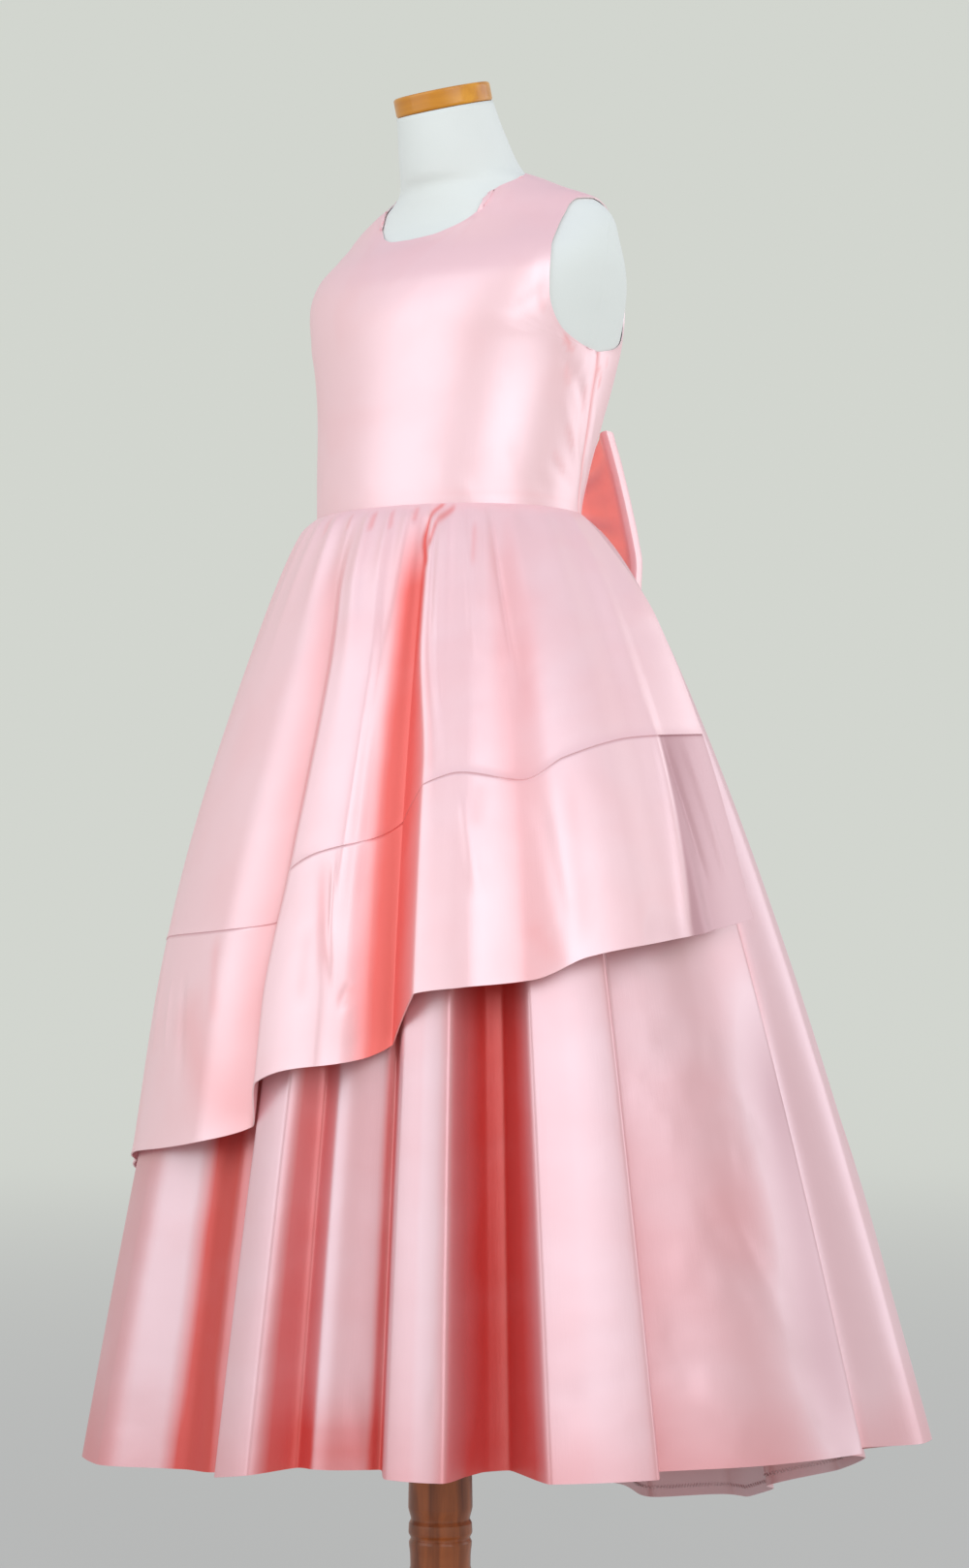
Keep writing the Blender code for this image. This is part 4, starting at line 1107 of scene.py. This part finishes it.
# %% Make the bow
KNOT_HEIGHT, KNOT_BACK, KNOT_HALF = 1078.0, 152.4, (20.5, 31.0, 31.5)
LOOP_LEAN = (29.0, 17.0)
CORNER_ROUND = 9.0
LOOP_COLUMNS = ("across", "back", "half_height", "middle")
LOOP_SECTIONS = (
    (21.8, 141, 23, 1079), (34, 150, 34, 1077), (52, 157, 48, 1073), (76, 155, 62, 1069),
    (98, 146, 72, 1067), (113, 137, 78, 1066), (119, 138, 79, 1066), (117, 147, 78, 1067),
    (104, 162, 73, 1070), (82, 178, 64, 1074), (58, 186, 51, 1078), (36, 180, 36, 1080),
    (21.8, 162, 24, 1079),
)


def loop_points(count, rows):
    """Loop: a path out and back, swept by a band that widens outwards.

    Across the band, up runs from -1 to 1. The fan of creases is a cosine of
    up, strongest at the knot and fading with the band's width.
    """
    across, back, half_height, middle = (
        column(LOOP_SECTIONS, LOOP_COLUMNS, name) for name in LOOP_COLUMNS
    )
    at = np.arange(len(LOOP_SECTIONS), dtype=float)
    along = np.linspace(0.0, at[-1], count)
    up = np.linspace(-1.0, 1.0, rows)[:, None]
    half = through(along, at, half_height)
    wide = (half - 23.0) / 56.0
    x = through(along, at, across) + 0.0 * up
    z = through(along, at, middle) + half * up
    fan = 2.6 * np.cos(3.2 * np.pi * up + 0.5) * (1 - wide) ** 1.2 * ease(wide / 0.12)
    fan = fan + 3.4 * np.cos(5.1 * np.pi * up + 1.7) * wide * (1 - wide)
    y = through(along, at, back) + 5.0 * (1 - up ** 2) * np.sin(np.pi * along / at[-1])
    outward = np.where(along < 6.0, -1.0, 1.0)
    y = y + fan * outward * ease(np.abs(along - 6.0) / 1.5)
    lean = wide * (1 + up) / 2
    x = x - LOOP_LEAN[0] * lean - CORNER_ROUND * wide ** 2 * ease((-up - 0.4) / 0.6)
    points = np.stack([x, y - LOOP_LEAN[1] * lean, z], -1)
    # Painted shade: strong on the loop's inner half, weaker at its widest end, deeper in the fan's
    # troughs, and faint elsewhere.
    inner_painted_shade = ease((6.6 - along) / 1.6) * (1 - 0.75 * ease((wide - 0.86) / 0.14))
    return points, np.clip(inner_painted_shade * (0.72 - fan / 4.5) + 0.05, 0.0, 1.0)


points, painted_shade = loop_points(120, 48)
# Each loop takes its painted shade along with its points.
for name, node_name, grid, folds in (
    ("left_bow_loop", "bow_loop_left", points, painted_shade),
    ("right_bow_loop", "bow_loop_right", points[:, ::-1] * [-1.0, 1.0, 1.0], painted_shade[:, ::-1]),
):
    loop = grid_object(name, grid, bow_satin, folds)
    give_wall(loop)
    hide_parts(node_name)

# %% [markdown]
# The knot is the bow's centre: a strip of satin wrapped round it and pulled
# tight, with pleats running up and down it.

# %% Make the knot
KNOT_ENDS, KNOT_CORNERS, PLEAT_DEPTH, PLEATS = 3.2, 0.72, 0.035, 8.0
around = np.linspace(0.0, 2 * np.pi, 96, endpoint=False)
rise = np.linspace(-1.0, 1.0, 60)[:, None] * 0.998
girth = (1 - np.abs(rise) ** KNOT_ENDS) ** (1 / KNOT_ENDS)
cos, sin = np.cos(around), np.sin(around)
x = KNOT_HALF[0] * np.sign(sin) * np.abs(sin) ** KNOT_CORNERS * girth
y = KNOT_BACK - KNOT_HALF[1] * np.sign(cos) * np.abs(cos) ** KNOT_CORNERS * girth
pleats = 1.0 - PLEAT_DEPTH * (1 - np.cos(around * PLEATS)) * girth
z = KNOT_HEIGHT + KNOT_HALF[2] * rise + 0.0 * x
knot_points = np.stack([x * pleats, KNOT_BACK + (y - KNOT_BACK) * pleats, z], -1)
# The knot carries an even painted shade.
knot = grid_object("knot", knot_points, satin, 0.3 + 0.0 * x, closed=True)
close_ends(knot, len(around))
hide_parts("bow_knot")

# %% [markdown]
# ## Post, base and neck cap
# These are turned on a lathe, so each is a profile carried round an axis. The
# grooves in the post are cut where the photograph shows them, just below the
# hem.

# %% Turn the stand
POST_PROFILE = (
    (28.3, 44), (46, 39), (62, 33), (82, 27.5), (98, 26.5), (112, 29.5), (126, 31),
    (139, 29.5), (147, 26.2), (157, 26.4), (168, 27.4), (172, 25.8), (176, 27.8), (184, 27.4),
    (188, 25.6), (192, 26.6), (198, 28), (232, 27.5), (839.7, 27.5),
)
BASE_PROFILE = ((0, 186), (6, 190), (15, 190), (21.4, 184), (25.6, 172), (27.6, 150), (28, 60))
CAP_PROFILE = ((0.0, 41.5), (0.8, 42.9), (2.2, 43.5), (14.8, 43.5), (16.2, 42.9), (17.0, 41.5))
CAP_TILT, NECK_TOP = math.atan(0.30), 1428.0
POST_COLUMNS, BASE_COLUMNS, CAP_COLUMNS = 72, 128, 96


def turned_points(profile, rings, columns, smooth=True):
    """Heights and radii of a profile, carried round the vertical axis."""
    table = np.array(profile, float)
    length = running(np.hypot(*np.diff(table, axis=0).T))
    at = np.union1d(length, np.linspace(0.0, length[-1], rings))
    curve = through if smooth else np.interp
    height, radius = curve(at, length, table[:, 0]), curve(at, length, table[:, 1])
    return revolved(radius, height, columns)


post_points = turned_points(POST_PROFILE, 240, POST_COLUMNS)
post = grid_object("turned_post", post_points, post_wood, closed=True)
close_ends(post, POST_COLUMNS)
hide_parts("post")
base_points = turned_points(BASE_PROFILE, 60, BASE_COLUMNS)
base = grid_object("round_base", base_points, post_wood, closed=True)
close_ends(base, BASE_COLUMNS)
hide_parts("base")
cap_points = turned_points(CAP_PROFILE, 12, CAP_COLUMNS, smooth=False)
centre = form_point(np.array([0.0, 180.0]), np.full(2, NECK_TOP)).mean(axis=0)
y = cap_points[..., 1] * math.cos(CAP_TILT) - (cap_points[..., 2] + SEAM_GAP) * math.sin(CAP_TILT)
z = cap_points[..., 1] * math.sin(CAP_TILT) + (cap_points[..., 2] + SEAM_GAP) * math.cos(CAP_TILT)
cap_points = np.stack([cap_points[..., 0], y, z], -1) + centre
cap = grid_object("wooden_neck_cap", cap_points, cap_wood, closed=True)
close_ends(cap, CAP_COLUMNS)
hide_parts("neck_cap")
